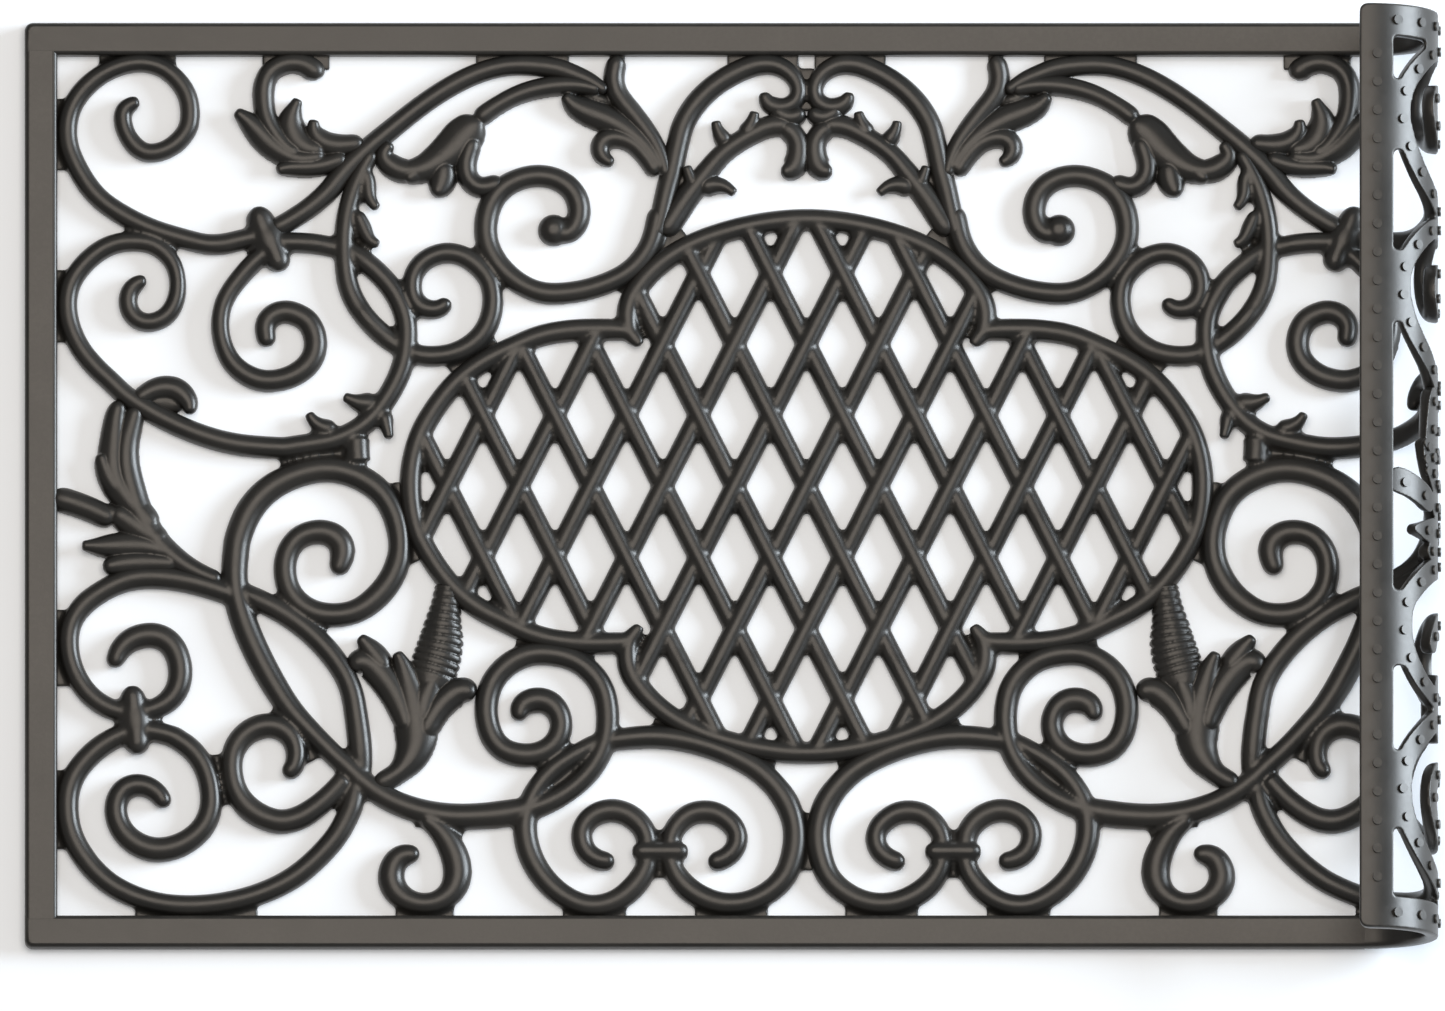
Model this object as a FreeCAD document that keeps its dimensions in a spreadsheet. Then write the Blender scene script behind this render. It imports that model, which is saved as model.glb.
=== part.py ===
import FreeCAD
import Part
import math
import os

doc = FreeCAD.newDocument("DoorMat")

# Driving dimensions, millimetres. Z is up, the floor is z = 0, X runs along the
# mat and Y across it. The origin is the middle of the flat mat, on the floor.
sheet = doc.addObject("Spreadsheet::Sheet", "Sizes")
SIZES = [
    ("mat_length", 762.0),
    ("mat_width", 456.0),
    ("rail_width", 16.0),
    ("rail_edge_round", 2.4),
    ("mat_corner_round", 4.0),
    ("body_height", 7.0),
    ("rod_width", 10.0),
    ("web_height", 3.6),
    ("stud_height", 1.2),
    ("stud_diameter", 4.6),
    ("stud_pitch", 14.0),
    ("stud_bite", 0.8),
    ("curl_radius", 36.0),
    ("curl_neutral_depth", 2.0),
    ("flat_half_length", 272.0),
]
for row, (name, value) in enumerate(SIZES, start=1):
    sheet.set("A%d" % row, name)
    sheet.set("B%d" % row, "%.6g" % value)
    sheet.setAlias("B%d" % row, name)
doc.recompute()


def size(name):
    return float(sheet.get(name))


mat_length = size("mat_length")
mat_width = size("mat_width")
rail_width = size("rail_width")
rail_edge_round = size("rail_edge_round")
mat_corner_round = size("mat_corner_round")
body_height = size("body_height")
rod_width = size("rod_width")
web_height = size("web_height")
stud_height = size("stud_height")
stud_radius = size("stud_diameter") / 2
stud_pitch = size("stud_pitch")
stud_bite = size("stud_bite")
curl_radius = size("curl_radius")
curl_neutral_radius = curl_radius - size("curl_neutral_depth")
flat_half_length = size("flat_half_length")

half_length = mat_length / 2
half_width = mat_width / 2
half_opening = half_length - rail_width
opening_width = mat_width - rail_width * 2
underside = stud_height
curl_axis_height = underside + curl_radius
curl_turn = (half_length - flat_half_length) / curl_neutral_radius

# Section of a moulded rod, as shares of its width and height.
shoulder_width_share = 0.92
shoulder_height_share = 0.42
web_shoulder_share = 0.8
# A free end narrows to a rounded nose: how far from the tip, in half widths,
# and the width left there.
nose_shares = [(0.04, 0.28), (0.25, 0.66), (0.6, 0.92), (1.0, 1.0)]
nose_low_share = 0.55
smoothing_passes = 24
# Route sampling: points along a stretch between two table points, and how many
# times shorter a neighbour stretch may count.
fewest_samples = 4
samples_per_unit = 2
stretch_ratio_limit = 4
tangent_reach = 2
# Sections, in rod widths and turns: longest step, largest turn, closest step, and
# how many times wider a gap may be than the gap beside it.
longest_step_share = 1.5
largest_turn_share = 0.055
closest_step_share = 0.2
growth_limit = 2.4
growth_used = 1.92
loft_degree = 2
# Two faces are one when their places and areas differ by less than this share.
face_match_share = 0.001
# A stud stands only where the rod is this much wider than it.
stud_margin_share = 1.12
# Ribs of the horn: pitch in rods and how much the grooves draw in.
rib_pitch_share = 0.39
ripple_depth_share = 0.14
sections_per_rib = 4


def place(x, y):
    """Point on the underside and the local along, up directions."""
    if x <= flat_half_length:
        return (FreeCAD.Vector(x, y, underside), FreeCAD.Vector(1, 0, 0),
                FreeCAD.Vector(0, 0, 1))
    turn = (x - flat_half_length) / curl_neutral_radius
    origin = FreeCAD.Vector(flat_half_length + curl_radius * math.sin(turn), y,
                            curl_axis_height - curl_radius * math.cos(turn))
    along = FreeCAD.Vector(math.cos(turn), 0, math.sin(turn))
    up = FreeCAD.Vector(-math.sin(turn), 0, math.cos(turn))
    return origin, along, up


def section(x, y, nx, ny, width, height, shoulder_w, shoulder_h):
    """Closed D-shaped wire across the route."""
    origin, along, up = place(x, y)
    side = along * nx + FreeCAD.Vector(0, ny, 0)
    half = width / 2
    low_l = origin - side * half
    low_r = origin + side * half
    top_r = origin + side * (half * shoulder_w) + up * (height * shoulder_h)
    top_l = origin - side * (half * shoulder_w) + up * (height * shoulder_h)
    crest = origin + up * height
    edges = [Part.makeLine(low_l, low_r), Part.makeLine(low_r, top_r),
             Part.Arc(top_r, crest, top_l).toShape(), Part.makeLine(top_l, low_l)]
    return Part.Wire(edges)


def to_mm(point, side):
    """A table point of shares as x, y, width, height in millimetres."""
    x = (point[0] - 1) * half_opening * side
    y = (point[1] - 0.5) * opening_width
    width = (point[2] if len(point) > 2 else 1.0) * rod_width
    height = (point[3] if len(point) > 3 else 1.0) * body_height
    return [x, y, width, height]


def dense_route(points):
    """Smooth curve through the points, sampled finely."""
    out = []
    last = len(points) - 1
    for i in range(last):
        before = points[max(i - 1, 0)]
        here = points[i]
        there = points[i + 1]
        after = points[min(i + 2, last)]
        gap = math.dist(here[:2], there[:2])
        gap_before = max(math.dist(before[:2], here[:2]), gap / stretch_ratio_limit)
        gap_after = max(math.dist(there[:2], after[:2]), gap / stretch_ratio_limit)
        slope_here = []
        slope_there = []
        for k in range(2):
            slope_here.append((there[k] - before[k]) / (gap + gap_before) * gap)
            slope_there.append((after[k] - here[k]) / (gap + gap_after) * gap)
        if i == 0:
            slope_here = [there[k] - here[k] for k in range(2)]
        if i == last - 1:
            slope_there = [there[k] - here[k] for k in range(2)]
        count = max(fewest_samples, int(gap * samples_per_unit))
        for j in range(count):
            u = j / count
            a = (1 + 2 * u) * (1 - u) ** 2
            b = u * (1 - u) ** 2
            c = u * u * (3 - 2 * u)
            d = u * u * (u - 1)
            xy = [a * here[k] + b * slope_here[k] + c * there[k] + d * slope_there[k]
                  for k in range(2)]
            wh = [here[k] + (there[k] - here[k]) * u for k in (2, 3)]
            out.append(xy + wh)
    out.append(list(points[last]))
    return out


def smoothed(route, passes):
    for _ in range(passes):
        fresh = [route[0]]
        for i in range(1, len(route) - 1):
            fresh.append([(route[i - 1][k] + 2 * route[i][k] + route[i + 1][k]) / 4
                          for k in range(4)])
        fresh.append(route[-1])
        route = fresh
    return route


def stations(route):
    """Pick the sections: closer together where the route turns."""
    length = [0.0]
    for i in range(1, len(route)):
        length.append(length[-1] + math.dist(route[i - 1][:2], route[i][:2]))
    tangent = []
    for i in range(len(route)):
        a = route[max(i - tangent_reach, 0)]
        b = route[min(i + tangent_reach, len(route) - 1)]
        span = math.dist(a[:2], b[:2])
        tangent.append(((b[0] - a[0]) / span, (b[1] - a[1]) / span))
    return length, tangent


def at_mark(route, length, tangent, mark):
    """Position, width, height and direction at a distance along the route."""
    i = 1
    while i < len(length) - 1 and length[i] < mark:
        i += 1
    span = length[i] - length[i - 1]
    u = (mark - length[i - 1]) / span if span > 0 else 0.0
    here = [route[i - 1][k] + (route[i][k] - route[i - 1][k]) * u for k in range(4)]
    tx = tangent[i - 1][0] + (tangent[i][0] - tangent[i - 1][0]) * u
    ty = tangent[i - 1][1] + (tangent[i][1] - tangent[i - 1][1]) * u
    norm = math.hypot(tx, ty)
    return here, (tx / norm, ty / norm)


def pick_marks(route, length, tangent, start, stop):
    """Distances of the sections between two ends, denser in the turns."""
    step_limit = longest_step_share * rod_width
    turn_limit = largest_turn_share * math.pi * 2
    picked = []
    at = start
    turned = 0.0
    for i in range(1, len(route)):
        if length[i] <= start:
            continue
        if length[i] >= stop:
            break
        cross = tangent[i - 1][0] * tangent[i][1] - tangent[i - 1][1] * tangent[i][0]
        turned += abs(math.asin(max(-1.0, min(1.0, cross))))
        if turned > turn_limit or length[i] - at > step_limit:
            picked.append(length[i])
            at = length[i]
            turned = 0.0
    while picked and stop - picked[-1] < rod_width * closest_step_share:
        picked.pop()
    return picked


def loft(wires, solid=True):
    return Part.makeLoft(wires, solid, False, False, loft_degree)


def even_out(marks):
    """Add sections so that no gap is much wider than the gap beside it."""
    done = False
    while not done:
        done = True
        gaps = [b[0] - a[0] for a, b in zip(marks[:-1], marks[1:])]
        for i, gap in enumerate(gaps):
            before = gaps[i - 1] if i > 0 else gap
            after = gaps[i + 1] if i < len(gaps) - 1 else gap
            if gap > before * growth_limit:
                fresh = marks[i][0] + before * growth_used
            elif gap > after * growth_limit:
                fresh = marks[i + 1][0] - after * growth_used
            else:
                continue
            marks.insert(i + 1, (fresh, 1.0))
            done = False
            break
    return marks


def rod(points, nose_start=True, nose_end=True, low=False, studs=True, ripple=None,
        lengths=1):
    """One moulded rod along a route given in millimetres, on its studs."""
    route = smoothed(dense_route(points), smoothing_passes)
    length, tangent = stations(route)
    total = length[-1]
    head = [(0.0, 1.0)]
    if nose_start:
        head = [(share * route[0][2] / 2, keep) for share, keep in nose_shares]
    tail = [(total, 1.0)]
    if nose_end:
        tail = [(total - share * route[-1][2] / 2, keep)
                for share, keep in reversed(nose_shares)]
    start, stop = head[-1][0], tail[0][0]
    if ripple:
        count = round((stop - start) / ripple) * sections_per_rib
        step = (stop - start) / count
        groove = sections_per_rib / 2
        middle = [(start + step * k,
                   1.0 - (k % sections_per_rib == groove) * ripple_depth_share)
                  for k in range(1, count)]
    else:
        middle = [(mark, 1.0) for mark in pick_marks(route, length, tangent, start, stop)]
    marks = head + middle + tail if ripple else even_out(head + middle + tail)
    shoulder_h = web_shoulder_share if low else shoulder_height_share

    def wire_at(mark, keep):
        here, (tx, ty) = at_mark(route, length, tangent, mark)
        height = here[3] * (nose_low_share + (1 - nose_low_share) * keep)
        return section(here[0], here[1], -ty, tx, here[2] * keep, height,
                       shoulder_width_share, shoulder_h)

    count = int((total - stud_pitch / 2) / stud_pitch) + 1
    stud_marks = []
    spots = []
    for k in range(count):
        mark = total / 2 + (k - (count - 1) / 2) * stud_pitch
        here, _ = at_mark(route, length, tangent, mark)
        if here[2] / 2 > stud_radius * stud_margin_share:
            stud_marks.append(mark)
            spots.append(here)
    if ripple:
        ribbed = Part.makeLoft([wire_at(*mark) for mark in marks], True, True)
        return ribbed.multiFuse([stud(spot[0], spot[1]) for spot in spots])
    if not studs or not spots:
        return loft([wire_at(*mark) for mark in marks])
    on_floor = max(point[0] for point in route) < flat_half_length
    made = []
    for stretch in stretches(marks, stud_marks, lengths):
        low_end, high_end = stretch[0][0], stretch[-1][0]
        own = [k for k, mark in enumerate(stud_marks) if low_end < mark < high_end]
        own_spots = [spots[k] for k in own]
        if on_floor:
            made.append(flat_rod([wire_at(*mark) for mark in stretch], own_spots))
        else:
            made.append(curled_rod(stretch, wire_at, [stud_marks[k] for k in own], own_spots))
    return Part.makeCompound(made)


def stretches(marks, stud_marks, lengths):
    """The sections of each length that a long rod is made in, cut between studs."""
    near = rod_width * closest_step_share
    ends = [marks[0]]
    for k in range(1, lengths):
        nth = round(len(stud_marks) * k / lengths)
        ends.append(((stud_marks[nth - 1] + stud_marks[nth]) / 2, 1.0))
    ends.append(marks[-1])
    found = []
    for k, (low, high) in enumerate(zip(ends[:-1], ends[1:])):
        start = low[0] + (near if k > 0 else 0)
        stop = high[0] - (near if k < lengths - 1 else 0)
        inner = [mark for mark in marks if start < mark[0] < stop]
        found.append(even_out([low] + inner + [high]))
    return found


def flat_rod(wires, spots):
    """Closed solid of a rod on the floor side: its underside has a hole per stud."""
    faces = loft(wires, False).Faces
    up = FreeCAD.Vector(0, 0, 1)
    outline = Part.Wire(Part.__sortEdges__(faces[0].Edges))
    holes = []
    skin = faces[1:] + [Part.Face(wires[0]), Part.Face(wires[-1])]
    for spot in spots:
        rim = Part.makeCircle(stud_radius, FreeCAD.Vector(spot[0], spot[1], underside), up)
        foot = Part.makeCircle(stud_radius, FreeCAD.Vector(spot[0], spot[1], 0), up)
        holes.append(Part.Wire(rim))
        skin += [rim.extrude(up * -stud_height), Part.Face(Part.Wire(foot))]
    shell = Part.makeShell([Part.Face([outline] + holes)] + skin)
    shell.sewShape()
    return Part.makeSolid(shell)


def curled_rod(marks, wire_at, stud_marks, spots):
    """Closed solid of a rod that rolls over, made span by span around its studs."""
    cuts = [(a + b) / 2 for a, b in zip(stud_marks[:-1], stud_marks[1:])]
    bounds = [marks[0][0]] + cuts + [marks[-1][0]]
    last = wire_at(*marks[-1])
    low = wire_at(*marks[0])
    near = stud_radius * closest_step_share
    skin = []
    for k, spot in enumerate(spots):
        inner = [mark for mark in marks if bounds[k] + near < mark[0] < bounds[k + 1] - near]
        if not inner:
            inner = [((bounds[k] + bounds[k + 1]) / 2, 1.0)]
        high = last if k == len(spots) - 1 else wire_at(bounds[k + 1], 1.0)
        span = loft([low] + [wire_at(*mark) for mark in inner] + [high])
        span = span.fuse(stud(spot[0], spot[1]))
        ends = [Part.Face(low)] if k > 0 else []
        ends += [Part.Face(high)] if k < len(spots) - 1 else []
        skin += [face for face in span.Faces if not any(same_face(face, end) for end in ends)]
        low = high
    shell = Part.makeShell(skin)
    shell.sewShape()
    return Part.makeSolid(shell)


def same_face(one, other):
    apart = (one.CenterOfMass - other.CenterOfMass).Length
    return (apart < stud_radius * face_match_share
            and abs(one.Area - other.Area) < one.Area * face_match_share)


def stud(x, y):
    """Round stud under the mat, sunk a little into the rod above it."""
    origin, along, up = place(x, y)
    return Part.makeCylinder(stud_radius, stud_height + stud_bite,
                             origin - up * stud_height, up)


def stroke(table, side, **how):
    return rod([to_mm(point, side) for point in table], **how)


def web(table, side):
    """Flat web between two rods, or a rod and a rail."""
    points = [to_mm(point, side) for point in table]
    for point in points:
        point[3] = web_height
    return rod(points, nose_start=False, nose_end=False, low=True, studs=False)


# Centre lines of the scrollwork on the left half, read off as shares of the
# opening inside the rails: across from the left rail (0) to the middle (1), up
# from the front rail (0) to the back rail (1), width in rods, height in bodies.
corner_scroll_shares = [
    (.1085, .9470, .45), (.0980, .9440, .78), (.0880, .9365, .86), (.0870, .9245, .88),
    (.0915, .9110, .88), (.1015, .8975, .90), (.1155, .8885, .92), (.1300, .8876, .92),
    (.1480, .8927, .93), (.1620, .9020, .94), (.1730, .9140, .95), (.1770, .9290, .95),
    (.1760, .9440, .94), (.1720, .9570, .93), (.1630, .9690, .92), (.1510, .9805, .90),
    (.1360, .9880, .90), (.1190, .9920, .90), (.1020, .9920, .90), (.0850, .9890, .91),
    (.0670, .9830, .93), (.0510, .9740, .95), (.0360, .9620, .96), (.0240, .9495, .97),
    (.0170, .9360, .97), (.0130, .9210, .97), (.0130, .9060, .97), (.0170, .8910, .98),
    (.0240, .8745, .99), (.0360, .8560, 1.0), (.0510, .8390, 1.0), (.0705, .8250, 1.0),
    (.0930, .8125, 1.0), (.1190, .8020, 1.0), (.1450, .7940, 1.0), (.1730, .7855, 1.0),
    (.1940, .7825, 1.0), (.2160, .7825, 1.0), (.2375, .7845, 1.03), (.2515, .7870, 1.05),
    (.2780, .7930, 1.05)]
rail_scroll_shares = [
    (.1180, .7385, .50), (.1110, .7380, .66), (.1025, .7335, .85), (.0950, .7240, .90),
    (.0945, .7090, .90), (.1030, .6960, .90), (.1185, .6902, .90), (.1370, .6934, .92),
    (.1509, .7037, .90), (.1589, .7200, .85), (.1606, .7350, .80), (.1580, .7510, .80),
    (.1500, .7650, .84), (.1340, .7780, .90), (.1120, .7840, .93), (.0965, .7850, .95),
    (.0786, .7825, .97), (.0592, .7756, .98), (.0394, .7619, .98), (.0250, .7469, .97),
    (.0153, .7291, .96), (.0127, .7103, .96), (.0157, .6912, .97), (.0235, .6718, .98),
    (.0351, .6546, 1.0), (.0534, .6364, 1.0), (.0728, .6206, 1.0), (.0911, .6056, 1.0),
    (.1190, .5897, 1.03), (.1406, .5793, 1.05), (.1621, .5700, 1.05), (.1837, .5625, 1.05),
    (.2052, .5559, 1.05), (.2267, .5512, 1.07), (.2483, .5484, 1.08), (.2698, .5456, 1.08),
    (.2913, .5446, 1.08), (.3129, .5450, 1.08), (.3400, .5493, 1.08), (.3616, .5531, 1.08),
    (.3831, .5587, 1.05), (.4003, .5660, 1.05), (.4133, .5750, 1.05), (.4262, .5865, 1.05),
    (.4370, .5995, 1.05), (.4470, .6127, 1.07), (.4542, .6259, 1.07), (.4600, .6390, 1.06),
    (.4642, .6540, 1.05), (.4660, .6690, 1.05), (.4660, .6859, 1.05), (.4628, .7009, 1.05),
    (.4553, .7159, 1.08), (.4456, .7310, 1.06), (.4348, .7422, 1.05), (.4240, .7516, 1.05),
    (.4111, .7610, 1.05), (.3982, .7694, 1.03, .90), (.3800, .7755, 1.0, .78),
    (.3640, .7790, 1.0, .85), (.3400, .7825, 1.0), (.3164, .7835, 1.0), (.2900, .7830, 1.0)]
hook_scroll_shares = [
    (.2805, .6625, .85), (.2785, .6730, .95), (.2768, .6840, 1.0), (.2795, .6925, 1.06),
    (.2892, .7000, 1.11), (.3035, .7035, 1.13), (.3180, .7005, 1.13), (.3325, .6935, 1.13),
    (.3410, .6820, 1.13), (.3448, .6660, 1.13), (.3410, .6503, 1.13), (.3304, .6380, 1.13),
    (.3142, .6287, 1.11), (.2980, .6240, 1.09), (.2775, .6225, 1.09), (.2560, .6280, 1.06),
    (.2385, .6385, 1.0), (.2260, .6540, .93), (.2187, .6725, .88), (.2171, .6915, .87),
    (.2203, .7090, .87), (.2290, .7255, .89), (.2430, .7420, .92), (.2570, .7560, .94),
    (.2700, .7665, .95), (.2840, .7760, .95)]
drop_scroll_shares = [
    (.4220, .8890, .70), (.4118, .8745, .80), (.4030, .8594, .90), (.3946, .8426, .95),
    (.3895, .8276, .98), (.3850, .8080, 1.00), (.3834, .7890, 1.00), (.3827, .7704, 1.00),
    (.3840, .7521, 1.00), (.3886, .7331, 1.03), (.3966, .7158, 1.04), (.4079, .7003, 1.04),
    (.4231, .6853, 1.04), (.4388, .6733, 1.02), (.4542, .6643, 1.0, .90),
    (.4660, .6580, 1.0, .78), (.4768, .6540, 1.0, .90), (.4908, .6520, 1.0),
    (.5080, .6520, 1.0), (.5252, .6540, 1.0), (.5403, .6587, 1.03), (.5554, .6670, 1.06),
    (.5683, .6784, 1.06), (.5770, .6934, 1.04), (.5808, .7084, 1.02), (.5808, .7234, 1.01),
    (.5770, .7384, 1.0), (.5668, .7516, 1.0), (.5535, .7620, 1.0), (.5385, .7690, 1.0),
    (.5230, .7715, 1.0), (.5060, .7697, 1.0), (.4910, .7630, .98), (.4800, .7535, .96),
    (.4742, .7420, .95), (.4732, .7290, .95), (.4766, .7174, .95), (.4845, .7090, 1.05),
    (.4964, .7054, .94), (.5071, .7054, .90), (.5156, .7091, .84), (.5205, .7171, .60)]
centre_scroll_shares = [
    (.6640, .7955, .62), (.6725, .7925, .90), (.6825, .7945, 1.02), (.6910, .8020, 1.10),
    (.6965, .8163, 1.13), (.6946, .8313, 1.12),
    (.6870, .8444, 1.10), (.6730, .8545, 1.08), (.6558, .8600, 1.08), (.6364, .8612, 1.08),
    (.6200, .8583, 1.08), (.6049, .8529, 1.10), (.5920, .8450, 1.12), (.5808, .8323, 1.13),
    (.5743, .8170, 1.14), (.5712, .8000, 1.14), (.5726, .7870, 1.12), (.5791, .7710, 1.10),
    (.5898, .7572, 1.08), (.6049, .7441, 1.06), (.6214, .7335, 1.05), (.6390, .7270, 1.05),
    (.6550, .7250, 1.05), (.6780, .7248, 1.05), (.7000, .7278, 1.05), (.7247, .7335, 1.05),
    (.7441, .7403, 1.05), (.7592, .7478, 1.05), (.7721, .7572, 1.05), (.7829, .7685, 1.05),
    (.7904, .7797, 1.05), (.7960, .7929, 1.05), (.8000, .8079, 1.08), (.8050, .8240, 1.08)]
centre_arch_shares = [
    (.7950, .7880, .95), (.8030, .8060, 1.0), (.8095, .8300, 1.05), (.8155, .8510, 1.08),
    (.8216, .8707, 1.10), (.8245, .8840, 1.10), (.8290, .9010, 1.10), (.8355, .9214, 1.10),
    (.8450, .9362, 1.10), (.8620, .9540, 1.10), (.8810, .9690, 1.10), (.9010, .9790, 1.10),
    (.9200, .9870, 1.08), (.9355, .9905, 1.06), (.9510, .9910, 1.02), (.9670, .9870, .95),
    (.9826, .9760, .86), (.9897, .9610, .81), (.9850, .9470, .86), (.9680, .9400, .92),
    (.9545, .9420, .98), (.9450, .9480, .75), (.9435, .9570, .40)]
large_scroll_shares = [
    (.3705, .3985, .85), (.3770, .4090, 1.05), (.3807, .4227, 1.24), (.3787, .4337, 1.24),
    (.3714, .4411, 1.26), (.3611, .4460, 1.24), (.3477, .4472, 1.20), (.3317, .4447, 1.17),
    (.3185, .4377, 1.12), (.3090, .4264, 1.10), (.3040, .4125, 1.10), (.3042, .3940, 1.10),
    (.3095, .3790, 1.12), (.3207, .3657, 1.15), (.3357, .3563, 1.18), (.3530, .3516, 1.19),
    (.3702, .3502, 1.19), (.3900, .3525, 1.16), (.4076, .3592, 1.20), (.4255, .3707, 1.22),
    (.4395, .3849, 1.23), (.4503, .4019, 1.22), (.4560, .4175, 1.18), (.4569, .4330, 1.14),
    (.4553, .4492, 1.14), (.4501, .4644, 1.15), (.4427, .4797, 1.18), (.4319, .4931, 1.22),
    (.4160, .5043, 1.22), (.3983, .5126, 1.26), (.3791, .5181, 1.26), (.3594, .5199, 1.26),
    (.3398, .5182, 1.26), (.3203, .5138, 1.27), (.3021, .5072, 1.29), (.2857, .4991, 1.32),
    (.2702, .4879, 1.34), (.2568, .4727, 1.34), (.2469, .4555, 1.33), (.2404, .4383, 1.32),
    (.2372, .4230, 1.31), (.2364, .4060, 1.30), (.2367, .3919, 1.30), (.2385, .3747, 1.30),
    (.2438, .3557, 1.30), (.2512, .3368, 1.31), (.2598, .3178, 1.32), (.2706, .2989, 1.30),
    (.2824, .2798, 1.28), (.2949, .2609, 1.25), (.3137, .2378, 1.16), (.3298, .2228, 1.10),
    (.3470, .2065, 1.05), (.3680, .1885, 1.05), (.3874, .1732, 1.07), (.4047, .1582, 1.10)]
front_scroll_shares = [
    (.3874, .1732, 1.07), (.4047, .1590, 1.10), (.4190, .1490, 1.12), (.4348, .1405, 1.14),
    (.4520, .1325, 1.16), (.4714, .1255, 1.20), (.4910, .1210, 1.24), (.5123, .1175, 1.27),
    (.5340, .1160, 1.30), (.5554, .1162, 1.31), (.5770, .1175, 1.32), (.5984, .1197, 1.32),
    (.6200, .1230, 1.28), (.6429, .1285, 1.15), (.6601, .1345, 1.06), (.6795, .1445, 1.03),
    (.6967, .1560, 1.03), (.7110, .1700, 1.05), (.7220, .1840, 1.08), (.7300, .2000, 1.11),
    (.7338, .2174, 1.13), (.7344, .2324, 1.13), (.7330, .2474, 1.13), (.7285, .2625, 1.13),
    (.7190, .2775, 1.12), (.7065, .2887, 1.12), (.6890, .2985, 1.12), (.6687, .3040, 1.13),
    (.6500, .3058, 1.14), (.6320, .3052, 1.14), (.6150, .2995, 1.14), (.5995, .2915, 1.14),
    (.5866, .2803, 1.14), (.5772, .2653, 1.14), (.5728, .2500, 1.14), (.5722, .2343, 1.14),
    (.5765, .2170, 1.14), (.5855, .2013, 1.15), (.5995, .1919, 1.16), (.6190, .1878, 1.16),
    (.6386, .1885, 1.16), (.6570, .1955, 1.14), (.6675, .2060, 1.12), (.6722, .2170, 1.10),
    (.6724, .2260, 1.10), (.6680, .2385, 1.14), (.6570, .2485, 1.22), (.6430, .2520, 1.25),
    (.6290, .2500, 1.24), (.6200, .2440, 1.15), (.6168, .2360, .98), (.6197, .2280, .60)]
side_scroll_shares = [
    (.2480, .3695, 1.10, .80), (.2290, .3760, 1.14), (.2052, .3825, 1.16),
    (.1837, .3880, 1.17), (.1620, .3920, 1.18), (.1406, .3943, 1.18), (.1234, .3948, 1.18),
    (.1020, .3932, 1.16), (.0825, .3885, 1.14), (.0653, .3815, 1.11), (.0480, .3715, 1.07),
    (.0330, .3595, 1.03), (.0215, .3465, 1.0), (.0160, .3320, 1.0), (.0148, .3170, 1.0),
    (.0168, .3000, 1.0), (.0233, .2830, 1.0), (.0330, .2680, 1.0), (.0460, .2550, 1.0),
    (.0610, .2456, 1.0), (.0775, .2395, 1.0), (.1000, .2365, 1.0), (.1234, .2400, 1.0),
    (.1385, .2445, 1.05), (.1514, .2535, 1.11), (.1600, .2650, 1.16), (.1637, .2775, 1.18),
    (.1634, .2906, 1.18), (.1600, .3037, 1.19), (.1530, .3150, 1.21), (.1430, .3228, 1.23),
    (.1300, .3268, 1.24), (.1170, .3268, 1.23), (.1020, .3233, 1.20), (.0895, .3160, 1.12),
    (.0810, .3065, 1.0), (.0770, .2980, .92), (.0778, .2895, .80)]
front_corner_scroll_shares = [
    (.2420, .3775, 1.10, .80), (.2590, .3725, 1.10), (.2806, .3628, 1.10),
    (.3000, .3540, 1.10), (.3185, .3431, 1.10), (.3400, .3280, 1.10), (.3609, .3088, 1.10),
    (.3775, .2896, 1.10), (.3900, .2690, 1.11), (.3962, .2437, 1.13), (.4001, .2250, 1.16),
    (.4025, .2060, 1.18), (.4042, .1900, 1.18, .95), (.4040, .1713, 1.15, .80),
    (.3993, .1544, 1.12, .80), (.3960, .1400, 1.10, .95), (.3928, .1280, 1.10),
    (.3853, .1131, 1.10), (.3745, .0962, 1.10), (.3594, .0793, 1.10), (.3400, .0625, 1.10),
    (.3200, .0485, 1.10), (.3010, .0380, 1.09), (.2806, .0300, 1.07), (.2570, .0224, 1.07),
    (.2312, .0171, 1.06), (.2053, .0137, 1.05), (.1794, .0123, 1.04), (.1577, .0128, 1.04),
    (.1338, .0155, 1.05), (.1097, .0211, 1.06), (.0876, .0290, 1.08), (.0656, .0407, 1.08),
    (.0506, .0525, 1.09), (.0389, .0644, 1.09), (.0280, .0786, 1.10), (.0193, .0940, 1.10),
    (.0143, .1108, 1.10), (.0128, .1281, 1.10), (.0142, .1436, 1.10), (.0197, .1593, 1.10),
    (.0305, .1749, 1.09), (.0457, .1885, 1.09), (.0630, .2010, 1.09), (.0816, .2097, 1.07),
    (.1069, .2162, 1.05), (.1309, .2145, 1.03), (.1510, .2105, 1.04), (.1710, .1995, 1.04),
    (.1854, .1882, 1.05), (.1972, .1710, 1.06), (.2031, .1540, 1.07), (.2052, .1370, 1.08),
    (.2031, .1205, 1.10), (.1955, .1055, 1.12), (.1825, .0930, 1.15), (.1632, .0828, 1.19),
    (.1406, .0776, 1.22), (.1212, .0790, 1.22), (.1040, .0855, 1.18), (.0905, .0955, 1.14),
    (.0817, .1075, 1.11), (.0777, .1210, 1.10), (.0790, .1340, 1.10), (.0855, .1450, 1.11),
    (.0965, .1515, 1.12), (.1094, .1530, 1.10), (.1225, .1500, 1.04), (.1340, .1430, .97),
    (.1405, .1350, .90), (.1425, .1265, .80)]
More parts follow.
